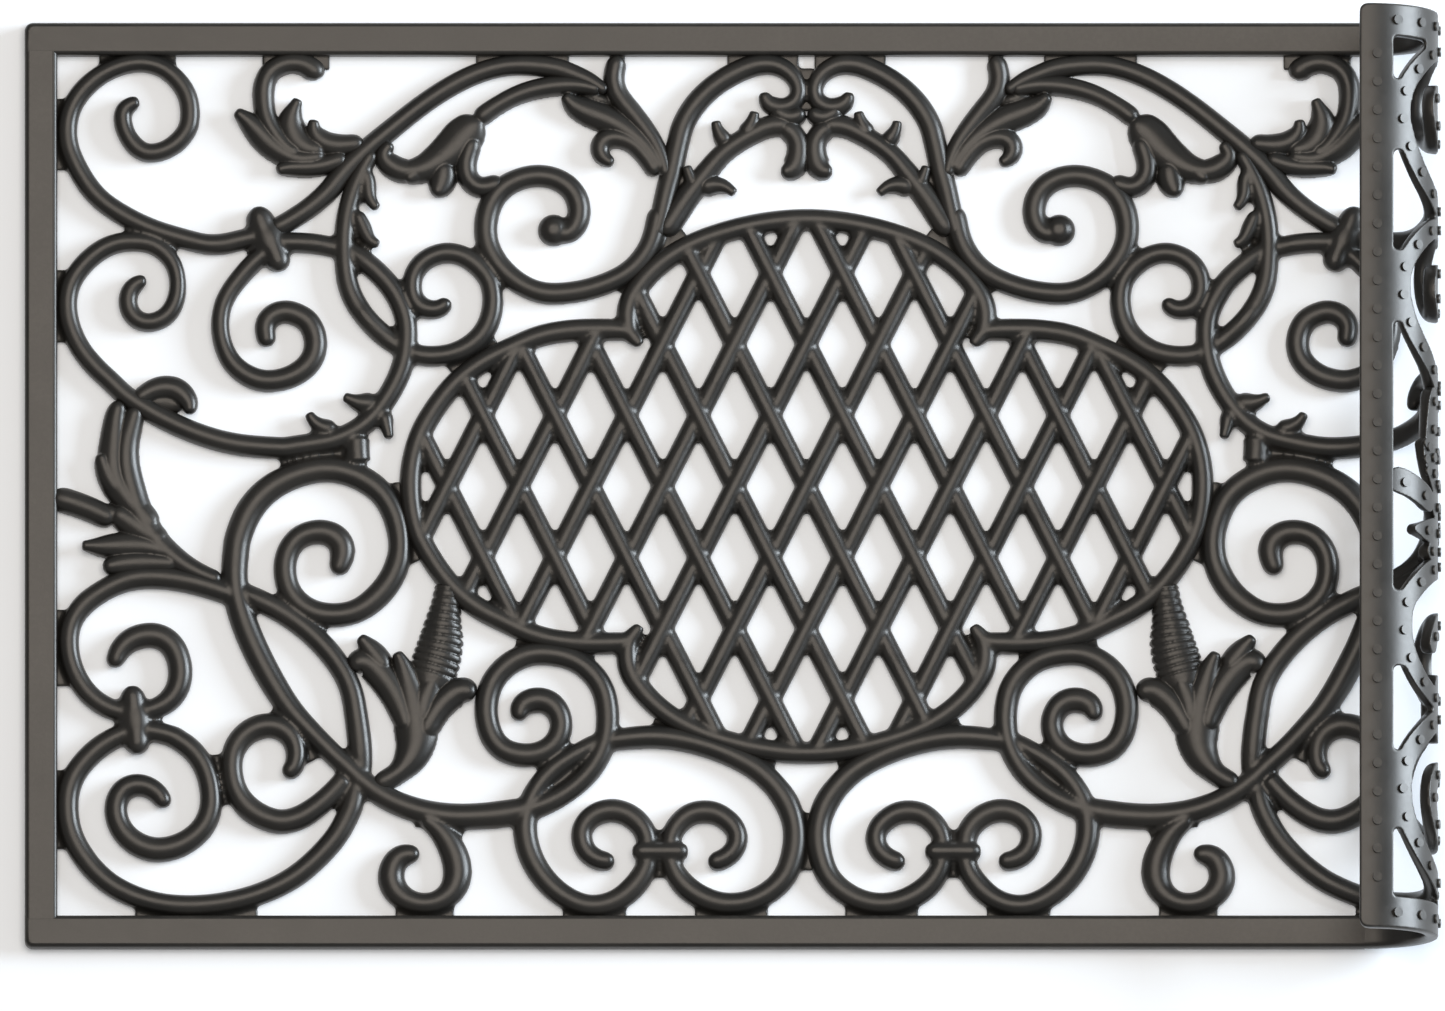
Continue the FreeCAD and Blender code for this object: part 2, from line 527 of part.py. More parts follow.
small_scroll_shares = [
    (.3025, .1640, .78), (.3145, .1722, .95), (.3185, .1825, 1.0), (.3188, .1920, 1.02),
    (.3160, .2030, 1.07), (.3075, .2137, 1.14), (.2960, .2200, 1.20), (.2840, .2222, 1.23),
    (.2666, .2198, 1.22), (.2495, .2110, 1.17), (.2388, .1990, 1.12), (.2337, .1880, 1.08),
    (.2322, .1730, 1.06), (.2349, .1550, 1.08), (.2426, .1394, 1.14), (.2547, .1265, 1.20),
    (.2700, .1175, 1.20), (.2850, .1120, 1.20), (.3000, .1103, 1.20), (.3185, .1133, 1.18),
    (.3380, .1225, 1.15), (.3550, .1338, 1.11), (.3700, .1465, 1.06), (.3820, .1590, 1.0)]
foot_scroll_shares = [
    (.4815, .0680, .78), (.4755, .0710, .95), (.4660, .0720, 1.08), (.4542, .0672, 1.18),
    (.4470, .0565, 1.26), (.4450, .0440, 1.31), (.4505, .0310, 1.28), (.4625, .0210, 1.18),
    (.4779, .0155, 1.10), (.4930, .0145, 1.08), (.5080, .0172, 1.11), (.5231, .0260, 1.22),
    (.5317, .0385, 1.36), (.5342, .0520, 1.42), (.5312, .0680, 1.39), (.5225, .0850, 1.28),
    (.5110, .0990, 1.10), (.4990, .1080, .92), (.4870, .1145, .72)]
bow_scroll_shares = [
    (.7430, .0650, .82), (.7290, .0640, .98), (.7145, .0690, 1.01), (.7045, .0775, 1.02),
    (.7000, .0887, 1.02), (.7004, .1007, 1.03), (.7085, .1122, 1.07), (.7222, .1203, 1.12),
    (.7398, .1234, 1.15), (.7567, .1205, 1.14), (.7708, .1131, 1.12), (.7818, .1027, 1.10),
    (.7869, .0911, 1.07), (.7886, .0748, 1.04), (.7870, .0612, 1.05), (.7816, .0495, 1.12),
    (.7715, .0367, 1.15), (.7568, .0245, 1.12), (.7388, .0159, 1.10), (.7160, .0120, 1.09),
    (.6926, .0161, 1.10), (.6716, .0264, 1.13), (.6536, .0401, 1.15), (.6403, .0560, 1.17),
    (.6310, .0719, 1.18), (.6254, .0879, 1.18), (.6243, .1036, 1.18), (.6264, .1188, 1.15),
    (.6311, .1338, 1.10), (.6400, .1490, 1.05), (.6526, .1620, 1.02), (.6687, .1750, 1.0),
    (.6860, .1854, 1.0), (.7032, .1938, 1.0, .92), (.7204, .2005, 1.0, .80),
    (.7376, .2050, 1.05, .92)]
arch_scroll_shares = [
    (.7300, .2030, 1.0, .85), (.7430, .2058, 1.05), (.7592, .2072, 1.10),
    (.7776, .2082, 1.13), (.7980, .2085, 1.14), (.8195, .2075, 1.14), (.8410, .2042, 1.12),
    (.8625, .1990, 1.11), (.8840, .1925, 1.11), (.9068, .1848, 1.12), (.9283, .1741, 1.14),
    (.9456, .1628, 1.15), (.9606, .1488, 1.16), (.9725, .1338, 1.17), (.9800, .1188, 1.18),
    (.9843, .1037, 1.18), (.9847, .0887, 1.18), (.9828, .0737, 1.18), (.9775, .0587, 1.17),
    (.9685, .0437, 1.15), (.9555, .0320, 1.13), (.9391, .0228, 1.12), (.9176, .0160, 1.11),
    (.8960, .0143, 1.11), (.8745, .0172, 1.15), (.8551, .0245, 1.18), (.8379, .0355, 1.16),
    (.8265, .0480, 1.10), (.8195, .0620, 1.0), (.8175, .0747, .98), (.8185, .0900, 1.0),
    (.8225, .0990, 1.02), (.8300, .1085, 1.05), (.8410, .1170, 1.09), (.8530, .1210, 1.12),
    (.8668, .1218, 1.13), (.8820, .1190, 1.10), (.8948, .1115, 1.06), (.9045, .1022, 1.02),
    (.9080, .0906, 1.0), (.9048, .0793, 1.0), (.8950, .0698, 1.0), (.8820, .0640, 1.0),
    (.8690, .0632, .85)]
arch_stem_shares = [
    (.2850, .7980, .95), (.3010, .8045, .98), (.3185, .8135, 1.0), (.3400, .8265, 1.0),
    (.3616, .8435, 1.05), (.3790, .8620, 1.06), (.3960, .8780, 1.06), (.4155, .8935, 1.06),
    (.4360, .9090, 1.05), (.4640, .9280, 1.0), (.4960, .9495, 1.0), (.5285, .9670, 1.0),
    (.5555, .9785, 1.0), (.5770, .9850, 1.0), (.5985, .9890, 1.0), (.6240, .9900, 1.0),
    (.6500, .9882, 1.0), (.6690, .9855, 1.0), (.6900, .9790, .95), (.7120, .9710, .80),
    (.7247, .9636, .60), (.7330, .9585, .35)]

# Lobes of the medallion ring: from its notch around the side, and from its
# notch over the middle. The front half mirrors the back half about 0.5.
side_lobe_shares = [
    (.7775, .6640, .22), (.7690, .6755, .75), (.7560, .6815, 1.04), (.7333, .6823, 1.08),
    (.7150, .6823, 1.08), (.6967, .6821, 1.08), (.6800, .6808, 1.07), (.6623, .6783, 1.06),
    (.6364, .6726, 1.05), (.6070, .6620, 1.05), (.5812, .6502, 1.05), (.5547, .6373, 1.05),
    (.5330, .6215, 1.05), (.5138, .6030, 1.05), (.4995, .5845, 1.05), (.4886, .5668, 1.05),
    (.4795, .5500, 1.05), (.4742, .5340, 1.05), (.4720, .5170, 1.05), (.4714, .5000, 1.05)]
middle_lobe_shares = [
    (.7775, .6640, .22), (.7665, .6770, .80), (.7612, .6880, 1.08), (.7613, .7000, 1.12),
    (.7640, .7120, 1.12), (.7690, .7230, 1.10), (.7780, .7345, 1.08), (.7890, .7460, 1.06),
    (.8090, .7615, 1.05), (.8325, .7750, 1.05), (.8620, .7870, 1.05), (.8949, .7965, 1.05),
    (.9150, .8010, 1.05), (.9400, .8055, 1.05), (.9700, .8090, 1.05), (1.0, .8100, 1.05)]

collar_height_share = 1.2
back_collar_shares = [
    (.2660, .8240, 1.30), (.2715, .8060, 1.42), (.2830, .7840, 1.42), (.2925, .7660, 1.32),
    (.2985, .7500, 1.20)]
side_collar_shares = [
    (.0997, .2670, 1.20), (.1005, .2520, 1.26), (.1025, .2350, 1.30), (.1050, .2150, 1.30),
    (.1060, .2000, 1.26), (.1062, .1885, 1.20)]
front_collar_shares = [
    (.7675, .0747, .98), (.7850, .0747, .92), (.8045, .0747, .86), (.8240, .0747, .92),
    (.8415, .0747, .98)]

# Leaves and petals: one table per blade.
corner_leaf_shares = [
    [(.3850, .8820, .90), (.3616, .8745, .95), (.3400, .8710, 1.0), (.3185, .8705, .95),
     (.3000, .8690, .70), (.2930, .8660, .30)],
    [(.3560, .8830, .95), (.3237, .8800, 1.15), (.3064, .8857, 1.30), (.2870, .8965, 1.45),
     (.2698, .9110, 1.40), (.2540, .9245, 1.05), (.2380, .9350, .35)],
    [(.3250, .8860, .90), (.3086, .8914, .95), (.2913, .9082, 1.0), (.2795, .9270, 1.03),
     (.2752, .9458, 1.06), (.2752, .9627, 1.07), (.2806, .9777, 1.05), (.2935, .9880, 1.02),
     (.3120, .9925, 1.02), (.3290, .9905, 1.06), (.3425, .9835, 1.16), (.3490, .9740, 1.20)],
    [(.3560, .8890, 1.0), (.3300, .8945, 1.45), (.3150, .9080, 1.60), (.3110, .9250, 1.35),
     (.3160, .9390, .80), (.3215, .9490, .25)],
    [(.4080, .8990, .95), (.3800, .8965, 1.10), (.3580, .8990, 1.20), (.3450, .9080, 1.05),
     (.3410, .9170, .70), (.3427, .9250, .25)]]
thorn_leaf_shares = [
    [(.4070, .8680, .60), (.4140, .8560, .82), (.4150, .8407, .78), (.4200, .8290, .50),
     (.4268, .8222, .15)],
    [(.3990, .8180, .55), (.4070, .8030, .85), (.4130, .7915, .70), (.4195, .7835, .42),
     (.4285, .7802, .15)],
    [(.4280, .5960, 1.30), (.4047, .5965, 1.0), (.3910, .6000, .50), (.3825, .6038, .15)],
    [(.3720, .5640, 1.10), (.3530, .5685, .90), (.3400, .5765, .50), (.3353, .5840, .15)],
    [(.4340, .5880, 1.0), (.4380, .5730, .80), (.4415, .5610, .42), (.4430, .5550, .15)]]
tie_shares = [(.3990, .5590, 1.35), (.3995, .5420, 1.22), (.4010, .5250, 1.35)]
bud_shares = [
    [(.5665, .9255, 1.25), (.5470, .9115, 2.00), (.5280, .8935, 1.98), (.5075, .8785, 1.72),
     (.4875, .8690, 1.42), (.4690, .8660, 1.20), (.4560, .8690, 1.0)],
    [(.4800, .8660, 1.10), (.4600, .8670, 1.25), (.4450, .8735, 1.20), (.4350, .8830, 1.0),
     (.4400, .8930, .70), (.4460, .8980, .40)],
    [(.4850, .8700, 1.25), (.4740, .8620, 1.10), (.4650, .8540, .55)],
    [(.5170, .8780, 1.20), (.5150, .8620, 1.45), (.5110, .8490, 1.35), (.5040, .8370, .60)],
    [(.5560, .9050, 1.0), (.5470, .8830, 1.05), (.5450, .8680, 1.05), (.5500, .8560, 1.05),
     (.5620, .8480, 1.05), (.5770, .8485, 1.05), (.5941, .8550, 1.0)]]
bud_stem_shares = [
    (.5600, .9240, 1.0), (.5720, .9340, .95), (.5985, .9486, .92), (.6200, .9572, .96),
    (.6470, .9635, 1.0), (.6750, .9664, 1.0), (.7000, .9655, .90), (.7250, .9600, .60)]
middle_leaf_shares = [
    [(.6760, .9540, .40), (.6890, .9430, 1.10), (.7075, .9355, 1.42), (.7290, .9285, 1.45),
     (.7527, .9185, 1.35), (.7742, .9040, 1.20), (.7936, .8857, 1.0), (.8065, .8651, .85)],
    [(.7415, .8745, .32), (.7320, .8790, .72), (.7245, .8880, .95), (.7260, .8985, 1.05),
     (.7360, .9050, 1.08), (.7506, .9050, 1.0), (.7700, .8979, 1.0), (.7872, .8820, 1.0),
     (.8010, .8620, .90)],
    [(.7500, .9995, .95), (.7441, .9852, 1.02), (.7428, .9702, 1.04), (.7484, .9552, 1.05),
     (.7635, .9383, 1.05), (.7807, .9195, 1.0), (.7958, .9007, .90), (.8076, .8782, .80),
     (.8130, .8594, .60)]]
sprig_shares = [
    [(.8080, .7930, 1.20), (.8314, .8240, 1.25), (.8487, .8463, 1.20), (.8637, .8620, 1.12),
     (.8767, .8763, 1.05), (.8917, .8895, 1.02), (.9111, .9015, 1.02), (.9300, .9110, 1.05),
     (.9470, .9180, 1.10), (.9640, .9200, 1.15), (.9790, .9180, 1.05)],
    [(.8950, .8960, 1.0), (.8865, .9060, .85), (.8800, .9160, .48), (.8788, .9235, .15)],
    [(.9150, .9060, 1.0), (.9240, .9170, .85), (.9290, .9270, .50), (.9312, .9345, .20)],
    [(.8560, .8450, 1.10), (.8720, .8500, 1.0), (.8885, .8490, .72), (.8990, .8435, .38),
     (.9036, .8395, .15)],
    [(.8500, .8480, .80), (.8440, .8600, .50), (.8395, .8712, .18)],
    [(.9640, .9200, 1.0), (.9800, .9120, 1.08), (.9885, .9000, 1.10), (.9890, .8860, 1.15),
     (.9850, .8730, 1.28), (.9750, .8655, 1.0), (.9660, .8655, .45)],
    [(.9560, .9400, .80), (.9680, .9310, 1.0), (.9840, .9290, 1.0), (.9960, .9370, .80)]]
side_leaf_shares = [
    [(.2180, .3890, .85), (.1900, .3988, 1.0), (.1700, .4080, 1.12), (.1534, .4185, 1.22),
     (.1370, .4310, 1.32), (.1225, .4470, 1.40), (.1060, .4740, 1.45), (.0965, .5010, 1.45),
     (.0915, .5221, 1.40), (.0910, .5428, 1.30), (.0960, .5640, 1.20), (.1010, .5784, 1.05),
     (.1060, .5920, .85)],
    [(.1300, .4500, 1.20), (.1040, .4752, 1.45), (.0850, .4959, 1.60), (.0740, .5165, 1.65),
     (.0735, .5390, 1.45), (.0755, .5615, 1.30), (.0780, .5822, 1.10), (.0840, .5980, .80)],
    [(.0850, .4900, 1.20), (.0690, .5100, 1.20), (.0605, .5270, .90), (.0570, .5370, .45)],
    [(.1600, .4200, 1.0), (.1191, .4300, 1.45), (.0868, .4310, 1.40), (.0600, .4300, 1.10),
     (.0440, .4300, .65), (.0330, .4300, .25)],
    [(.1600, .4100, 1.0), (.1105, .4114, 1.40), (.0820, .4090, 1.20), (.0610, .4050, .70)],
    [(.1450, .4310, 1.20), (.1105, .4508, 1.60), (.0868, .4640, 1.30), (.0720, .4700, 1.0)],
    [(-.0080, .4880, 1.25), (.0222, .4805, 1.24), (.0500, .4710, 1.22), (.0760, .4600, 1.1)],
    [(.1040, .5990, .80), (.1180, .6080, 1.0), (.1380, .6145, 1.20), (.1570, .6130, 1.25),
     (.1700, .6040, 1.15), (.1765, .5940, .90), (.1760, .5840, .45)],
    [(.1200, .5980, 1.10, .62), (.1450, .6010, 1.60, .62), (.1680, .5930, 1.20, .62)]]
horn_shares = [
    (.5215, .3830, 1.30), (.5200, .3720, 1.38), (.5188, .3620, 1.50), (.5165, .3500, 1.68),
    (.5145, .3400, 1.85), (.5134, .3281, 2.08), (.5110, .3160, 2.25), (.5075, .3030, 2.38),
    (.5035, .2915, 2.40), (.4995, .2790, 2.25), (.4962, .2690, 2.05), (.4925, .2580, 1.85)]
cup_leaf_shares = [
    [(.4240, .1520, .95), (.4400, .1590, 1.05), (.4560, .1680, 1.15), (.4680, .1810, 1.45),
     (.4760, .1950, 1.90), (.4790, .2080, 2.12), (.4780, .2249, 2.20), (.4750, .2437, 2.05),
     (.4700, .2625, 1.60), (.4640, .2812, 1.20), (.4580, .2962, .85), (.4525, .3060, .32)],
    [(.4680, .2150, 1.0), (.4600, .2380, 1.30), (.4490, .2600, 1.48), (.4330, .2800, 1.55),
     (.4170, .2935, 1.50), (.4030, .2960, 1.35), (.3940, .2860, 1.15)],
    [(.4400, .2850, 1.20), (.4230, .3040, 1.30), (.4120, .3160, .95), (.4030, .3238, .35)],
    [(.4870, .2080, 1.20), (.4965, .2260, 1.35), (.5100, .2440, 1.40), (.5270, .2580, 1.42),
     (.5430, .2630, 1.38), (.5570, .2560, 1.10)],
    [(.4850, .2200, 1.50), (.4880, .2450, 1.55), (.4960, .2640, 1.35), (.5040, .2780, .80)]]

# Flat webs that fill the narrow gaps where rods meet the rails or each other.
rail_web_shares = [
    [(.0040, .8680), (.0040, .9510)], [(.0040, .6680), (.0040, .7515)],
    [(.0040, .2680), (.0040, .3565)], [(.0040, .0790), (.0040, .1700)],
    [(.0560, .9960), (.1580, .9960)], [(.2735, .9960), (.3630, .9960)],
    [(.5590, .9960), (.6830, .9960)], [(.7370, .9960), (.7575, .9960)],
    [(.8945, .9960), (.9890, .9960)], [(.1035, .0040), (.2665, .0040)],
    [(.4515, .0040), (.5295, .0040)], [(.6745, .0040), (.7590, .0040)],
    [(.8510, .0040), (.9485, .0040)]]
contact_web_shares = [
    [(.0920, .7970, .6), (.1200, .7890, .6), (.1500, .7760, .6)],
    [(.2970, .5320, .5), (.3400, .5320, .5), (.3850, .5400, .5)],
    [(.5555, .7780, .6), (.5720, .7550, .6), (.5920, .7330, .6)],
    [(.5250, .6340, .8), (.5450, .6480, .8), (.5750, .6660, .8), (.5830, .6720, .6)],
    [(.4610, .7340, .7), (.4680, .7150, .7), (.4780, .7000, .7)],
    [(.4570, .5050, .8), (.4610, .4600, .7), (.4700, .4300, .7), (.4790, .4130, .7)],
    [(.6120, .3170, .6), (.6500, .3140, .6), (.6900, .3070, .7), (.7150, .2990, .8)],
    [(.7950, .2240, .6), (.8400, .2130, .5), (.8800, .2030, .5), (.9200, .1900, .5),
     (.9570, .1750, .5)],
    [(.7530, .7250, .8), (.7750, .7480, .8), (.8000, .7690, .8), (.8380, .7940, .8)],
    [(.2100, .1880, .7), (.2165, .1600, .7), (.2220, .1300, .7)],
    [(.2840, .2360, .7), (.3100, .2230, .7), (.3300, .2000, .7), (.3420, .1820, .7)],
    [(.2960, .3720, .6), (.3200, .3550, .6), (.3450, .3370, .6)],
    [(.4780, .1110, .6), (.5100, .1070, .6), (.5420, .0970, .6)],
    [(.8035, .1010, .9), (.8035, .0450, .8)]]
middle_web_shares = [[(1.0, .9860, .8), (1.0, .9370, .8)], [(1.0, .1210, .8), (1.0, .0540, .8)]]

# Domed boss that the centre scroll starts from.
boss_place_share = (.6625, .7978)
boss_radius_share = 0.78
boss_crown_share = 1.12
boss_curve_shares = (0.66, 0.72)

# Lattice of the medallion, in diamonds: half a diamond across and half along.
lattice_half_across_share = 0.048
lattice_half_along_share = 0.08265
lattice_last = 10
lattice_width_share = 1.0
over_share = 1.0
between_share = 0.93
under_share = 0.8
# Along a bar, in diamonds: how near to the ring a crossing or a stud may come.
studs_per_diamond = 3
crossing_margin_share = 0.4
stud_end_margin_share = 0.15
parallel_share = 1e-9


nodes = []


def keep_node(name, shape):
    """A finished sub-part of the mat."""
    item = doc.addObject("Part::Feature", name)
    item.Label = name
    item.Shape = shape
    item.Placement = FreeCAD.Placement()
    nodes.append(item)


def rail_studs(name, start, stop, across, along_x):
    """Row of studs under a straight rail, as objects bound to the sheet."""
    count = int((stop - start) / stud_pitch)
    found = []
    for k in range(count):
        at = (start + stop) / 2 + (k - (count - 1) / 2) * stud_pitch
        item = doc.addObject("Part::Cylinder", "%s_stud_%d" % (name, k + 1))
        item.setExpression("Radius", "Sizes.stud_diameter / 2")
        item.setExpression("Height", "Sizes.stud_height + Sizes.stud_bite")
        spot = (at, across) if along_x else (across, at)
        item.Placement = FreeCAD.Placement(FreeCAD.Vector(spot[0], spot[1], 0),
                                           FreeCAD.Rotation())
        found.append(item)
    return found


def straight_rail(name, sizes, base, rounds, studs):
    """Box rail with rounded edges on its row of studs."""
    bar = doc.addObject("Part::Box", name + "_bar")
    for key, rule in zip(("Length", "Width", "Height"), sizes):
        bar.setExpression(key, rule)
    for key, rule in zip("xyz", base):
        bar.setExpression("Placement.Base." + key, rule)
    doc.recompute()
    edges = []
    for number, edge in enumerate(bar.Shape.Edges, start=1):
        middle = edge.valueAt((edge.FirstParameter + edge.LastParameter) / 2)
        for spot, radius in rounds:
            if (middle - FreeCAD.Vector(*spot)).Length < rail_edge_round:
                edges.append((number, radius, radius))
    rounded = doc.addObject("Part::Fillet", name + "_rounded")
    rounded.Base = bar
    rounded.Edges = edges
    item = doc.addObject("Part::MultiFuse", name)
    item.Shapes = [rounded] + studs
    item.Label = name
    nodes.append(item)


top = underside + body_height
rail_middle = half_width - rail_width / 2
straight_length = half_length + flat_half_length
straight_middle = (flat_half_length - half_length) / 2
for name, sign in (("front_rail", -1), ("back_rail", 1)):
    outer = sign * half_width
    inner = sign * (half_width - rail_width)
    base_y = "-Sizes.mat_width / 2" if sign < 0 else "Sizes.mat_width / 2 - Sizes.rail_width"
    straight_rail(
        name,
        ("Sizes.mat_length / 2 + Sizes.flat_half_length", "Sizes.rail_width",
         "Sizes.body_height"),
        ("-Sizes.mat_length / 2", base_y, "Sizes.stud_height"),
        [((straight_middle, outer, top), rail_edge_round),
         ((straight_middle, inner, top), rail_edge_round),
         ((-half_length, sign * rail_middle, top), rail_edge_round),
         ((-half_length, outer, underside + body_height / 2), mat_corner_round)],
        rail_studs(name, -half_length, flat_half_length, sign * rail_middle, True))
straight_rail(
    "left_rail",
    ("Sizes.rail_width",
     "Sizes.mat_width - Sizes.rail_width * 2 + Sizes.rail_edge_round * 2",
     "Sizes.body_height"),
    ("-Sizes.mat_length / 2",
     "Sizes.rail_width - Sizes.mat_width / 2 - Sizes.rail_edge_round",
     "Sizes.stud_height"),
    [((-half_length, 0, top), rail_edge_round),
     ((rail_width - half_length, 0, top), rail_edge_round)],
    rail_studs("left_rail", rail_width - half_width, half_width - rail_width,
               rail_width / 2 - half_length, False))


def near_edges(shape, spots):
    """The edges whose middles lie nearest the given spots."""
    found = []
    for spot in spots:
        best = min(shape.Edges, key=lambda edge: (edge.valueAt(
            (edge.FirstParameter + edge.LastParameter) / 2) - spot).Length)
        found.append(best)
    return found


def curled_rail(sign):
    """Front or back rail where it rolls over: a box section turned about the curl."""
    outer = sign * half_width
    inner = sign * (half_width - rail_width)
    corners = [FreeCAD.Vector(flat_half_length, y, z) for y, z in
               ((outer, underside), (inner, underside), (inner, top), (outer, top))]
    face = Part.Face(Part.makePolygon(corners + corners[:1]))
    axis = FreeCAD.Vector(flat_half_length, 0, curl_axis_height)
    bar = face.revolve(axis, FreeCAD.Vector(0, -1, 0), math.degrees(curl_turn))
    end, along, up = place(half_length, outer)
    bar = bar.makeFillet(mat_corner_round, near_edges(bar, [end + up * (body_height / 2)]))
    middle_x = (half_length + flat_half_length) / 2
    spots = []
    for y in (outer, inner):
        origin, along, up = place(middle_x, y)
        spots.append(origin + up * body_height)
    origin, along, up = place(half_length, sign * rail_middle)
    spots.append(origin + up * body_height)
    bar = bar.makeFillet(rail_edge_round, near_edges(bar, spots))
    count = int((half_length - flat_half_length) / stud_pitch)
    studs = []
    for k in range(count):
        studs.append(stud(flat_half_length + (k + 0.5) * stud_pitch, sign * rail_middle))
    return bar.multiFuse(studs)


def end_rail():
    """Right rail, lying on top of the curl: its bent section drawn along Y."""
    reach = half_width - rail_width + rail_edge_round
    rim = []
    for x in (half_length - rail_width, half_length - rail_width / 2, half_length):
        origin, along, up = place(x, -reach)
        rim.append((origin, origin + up * body_height))
    edges = [Part.Arc(rim[0][0], rim[1][0], rim[2][0]).toShape(),
             Part.makeLine(rim[2][0], rim[2][1]),
             Part.Arc(rim[2][1], rim[1][1], rim[0][1]).toShape(),
             Part.makeLine(rim[0][1], rim[0][0])]
    bar = Part.Face(Part.Wire(edges)).extrude(FreeCAD.Vector(0, reach * 2, 0))
    spots = [rim[k][1] + FreeCAD.Vector(0, reach, 0) for k in (0, 2)]
    bar = bar.makeFillet(rail_edge_round, near_edges(bar, spots))
    count = int((opening_width) / stud_pitch)
    studs = []
    for k in range(count):
        studs.append(stud(half_length - rail_width / 2, (k - (count - 1) / 2) * stud_pitch))
    return bar.multiFuse(studs)


keep_node("front_rail_curl", curled_rail(-1))
keep_node("back_rail_curl", curled_rail(1))
keep_node("right_rail", end_rail())

# Medallion ring: two side lobes, a back lobe and a front lobe that meet at tips.
side_lobe = side_lobe_shares + [(p[0], 1 - p[1]) + p[2:]
                                for p in reversed(side_lobe_shares[:-1])]
back_lobe = middle_lobe_shares + [(2 - p[0],) + p[1:]
                                  for p in reversed(middle_lobe_shares[:-1])]
front_lobe = [(p[0], 1 - p[1]) + p[2:] for p in back_lobe]
keep_node("ring_left", stroke(side_lobe, 1, nose_start=False, nose_end=False))
keep_node("ring_right", stroke(side_lobe, -1, nose_start=False, nose_end=False))
keep_node("ring_back", stroke(back_lobe, 1, nose_start=False, nose_end=False))
keep_node("ring_front", stroke(front_lobe, 1, nose_start=False, nose_end=False))


def ring_outline():
    """Centre line of the whole ring as a closed polygon, millimetres."""
    outline = []
    for table, side in ((side_lobe, 1), (front_lobe, 1), (side_lobe, -1), (back_lobe, 1)):
        line = dense_route([to_mm(point, side) for point in table])
        if table is side_lobe and side < 0 or table is back_lobe:
            line.reverse()
        outline += [point[:2] for point in line[:-1]]
    return outline


def lattice_bar(outline, rise, number):
    """One bar: u + v or v - u stays at number; it ends on the ring."""
    across = lattice_half_across_share * half_opening
    along = lattice_half_along_share * opening_width

    def spot(u):
        v = number + u if rise else number - u
        return u * across, v * along

    origin = spot(0)
    step = (spot(1)[0] - origin[0], spot(1)[1] - origin[1])
    ends = []
    for i in range(len(outline)):
        a = outline[i - 1]
        b = outline[i]
        edge = (b[0] - a[0], b[1] - a[1])
        cross = step[0] * edge[1] - step[1] * edge[0]
        if abs(cross) < parallel_share:
            continue
        gap = (a[0] - origin[0], a[1] - origin[1])
        share = (gap[0] * step[1] - gap[1] * step[0]) / cross
        if 0 <= share < 1:
            ends.append((gap[0] * edge[1] - gap[1] * edge[0]) / cross)
    low, high = min(ends), max(ends)
    marks = [(low, between_share)]
    for half in range(math.ceil(low * 2 + crossing_margin_share),
                      math.floor(high * 2 - crossing_margin_share) + 1):
        if half % 2:
            share = between_share
        elif (half // 2) % 2 == (0 if rise else 1):
            share = over_share
        else:
            share = under_share
        marks.append((half / 2, share))
    marks.append((high, between_share))
    norm = math.hypot(*step)
    wires = []
    for u, share in marks:
        x, y = spot(u)
        wires.append(section(x, y, -step[1] / norm, step[0] / norm,
                             lattice_width_share * rod_width, share * body_height,
                             shoulder_width_share, shoulder_height_share))
    studs = []
    near_low, near_high = low + stud_end_margin_share, high - stud_end_margin_share
    for step_number in range(math.ceil(near_low * studs_per_diamond),
                             math.floor(near_high * studs_per_diamond) + 1):
        at_crossing = step_number % studs_per_diamond == 0
        if rise or not at_crossing:
            studs.append(spot(step_number / studs_per_diamond))
    return flat_rod(wires, studs)


outline = ring_outline()
for name, rise in (("lattice_rising_bars", True), ("lattice_falling_bars", False)):
    bars = [lattice_bar(outline, rise, number)
            for number in range(-lattice_last, lattice_last + 1, 2)]
    keep_node(name, Part.makeCompound(bars))


def boss(side):
    """Low dome on one stud, turned about its own axis."""
    x, y, width, height = to_mm(boss_place_share + (boss_radius_share * 2, boss_crown_share),
                                side)
    radius = width / 2
    rim = height * shoulder_height_share
    crown = height - rim

    def spot(out, z):
        return FreeCAD.Vector(x + out, y, z)

    shoulder = spot(radius * shoulder_width_share, underside + rim)
    middle = spot(radius * shoulder_width_share * boss_curve_shares[0],
                  underside + rim + crown * boss_curve_shares[1])
    rest = spot(stud_radius, underside + height)
    corners = [spot(0, underside + height), spot(0, 0), spot(stud_radius, 0),
               spot(stud_radius, underside), spot(radius, underside), shoulder]
    edges = [Part.makeLine(a, b) for a, b in zip(corners[:-1], corners[1:])]
    edges.append(Part.Arc(shoulder, middle, rest).toShape())
    edges.append(Part.makeLine(rest, corners[0]))
    face = Part.Face(Part.Wire(edges))
    return face.revolve(corners[1], FreeCAD.Vector(0, 0, 1), 360)


def leaves(tables, side):
    return [stroke(table, side) for table in tables]


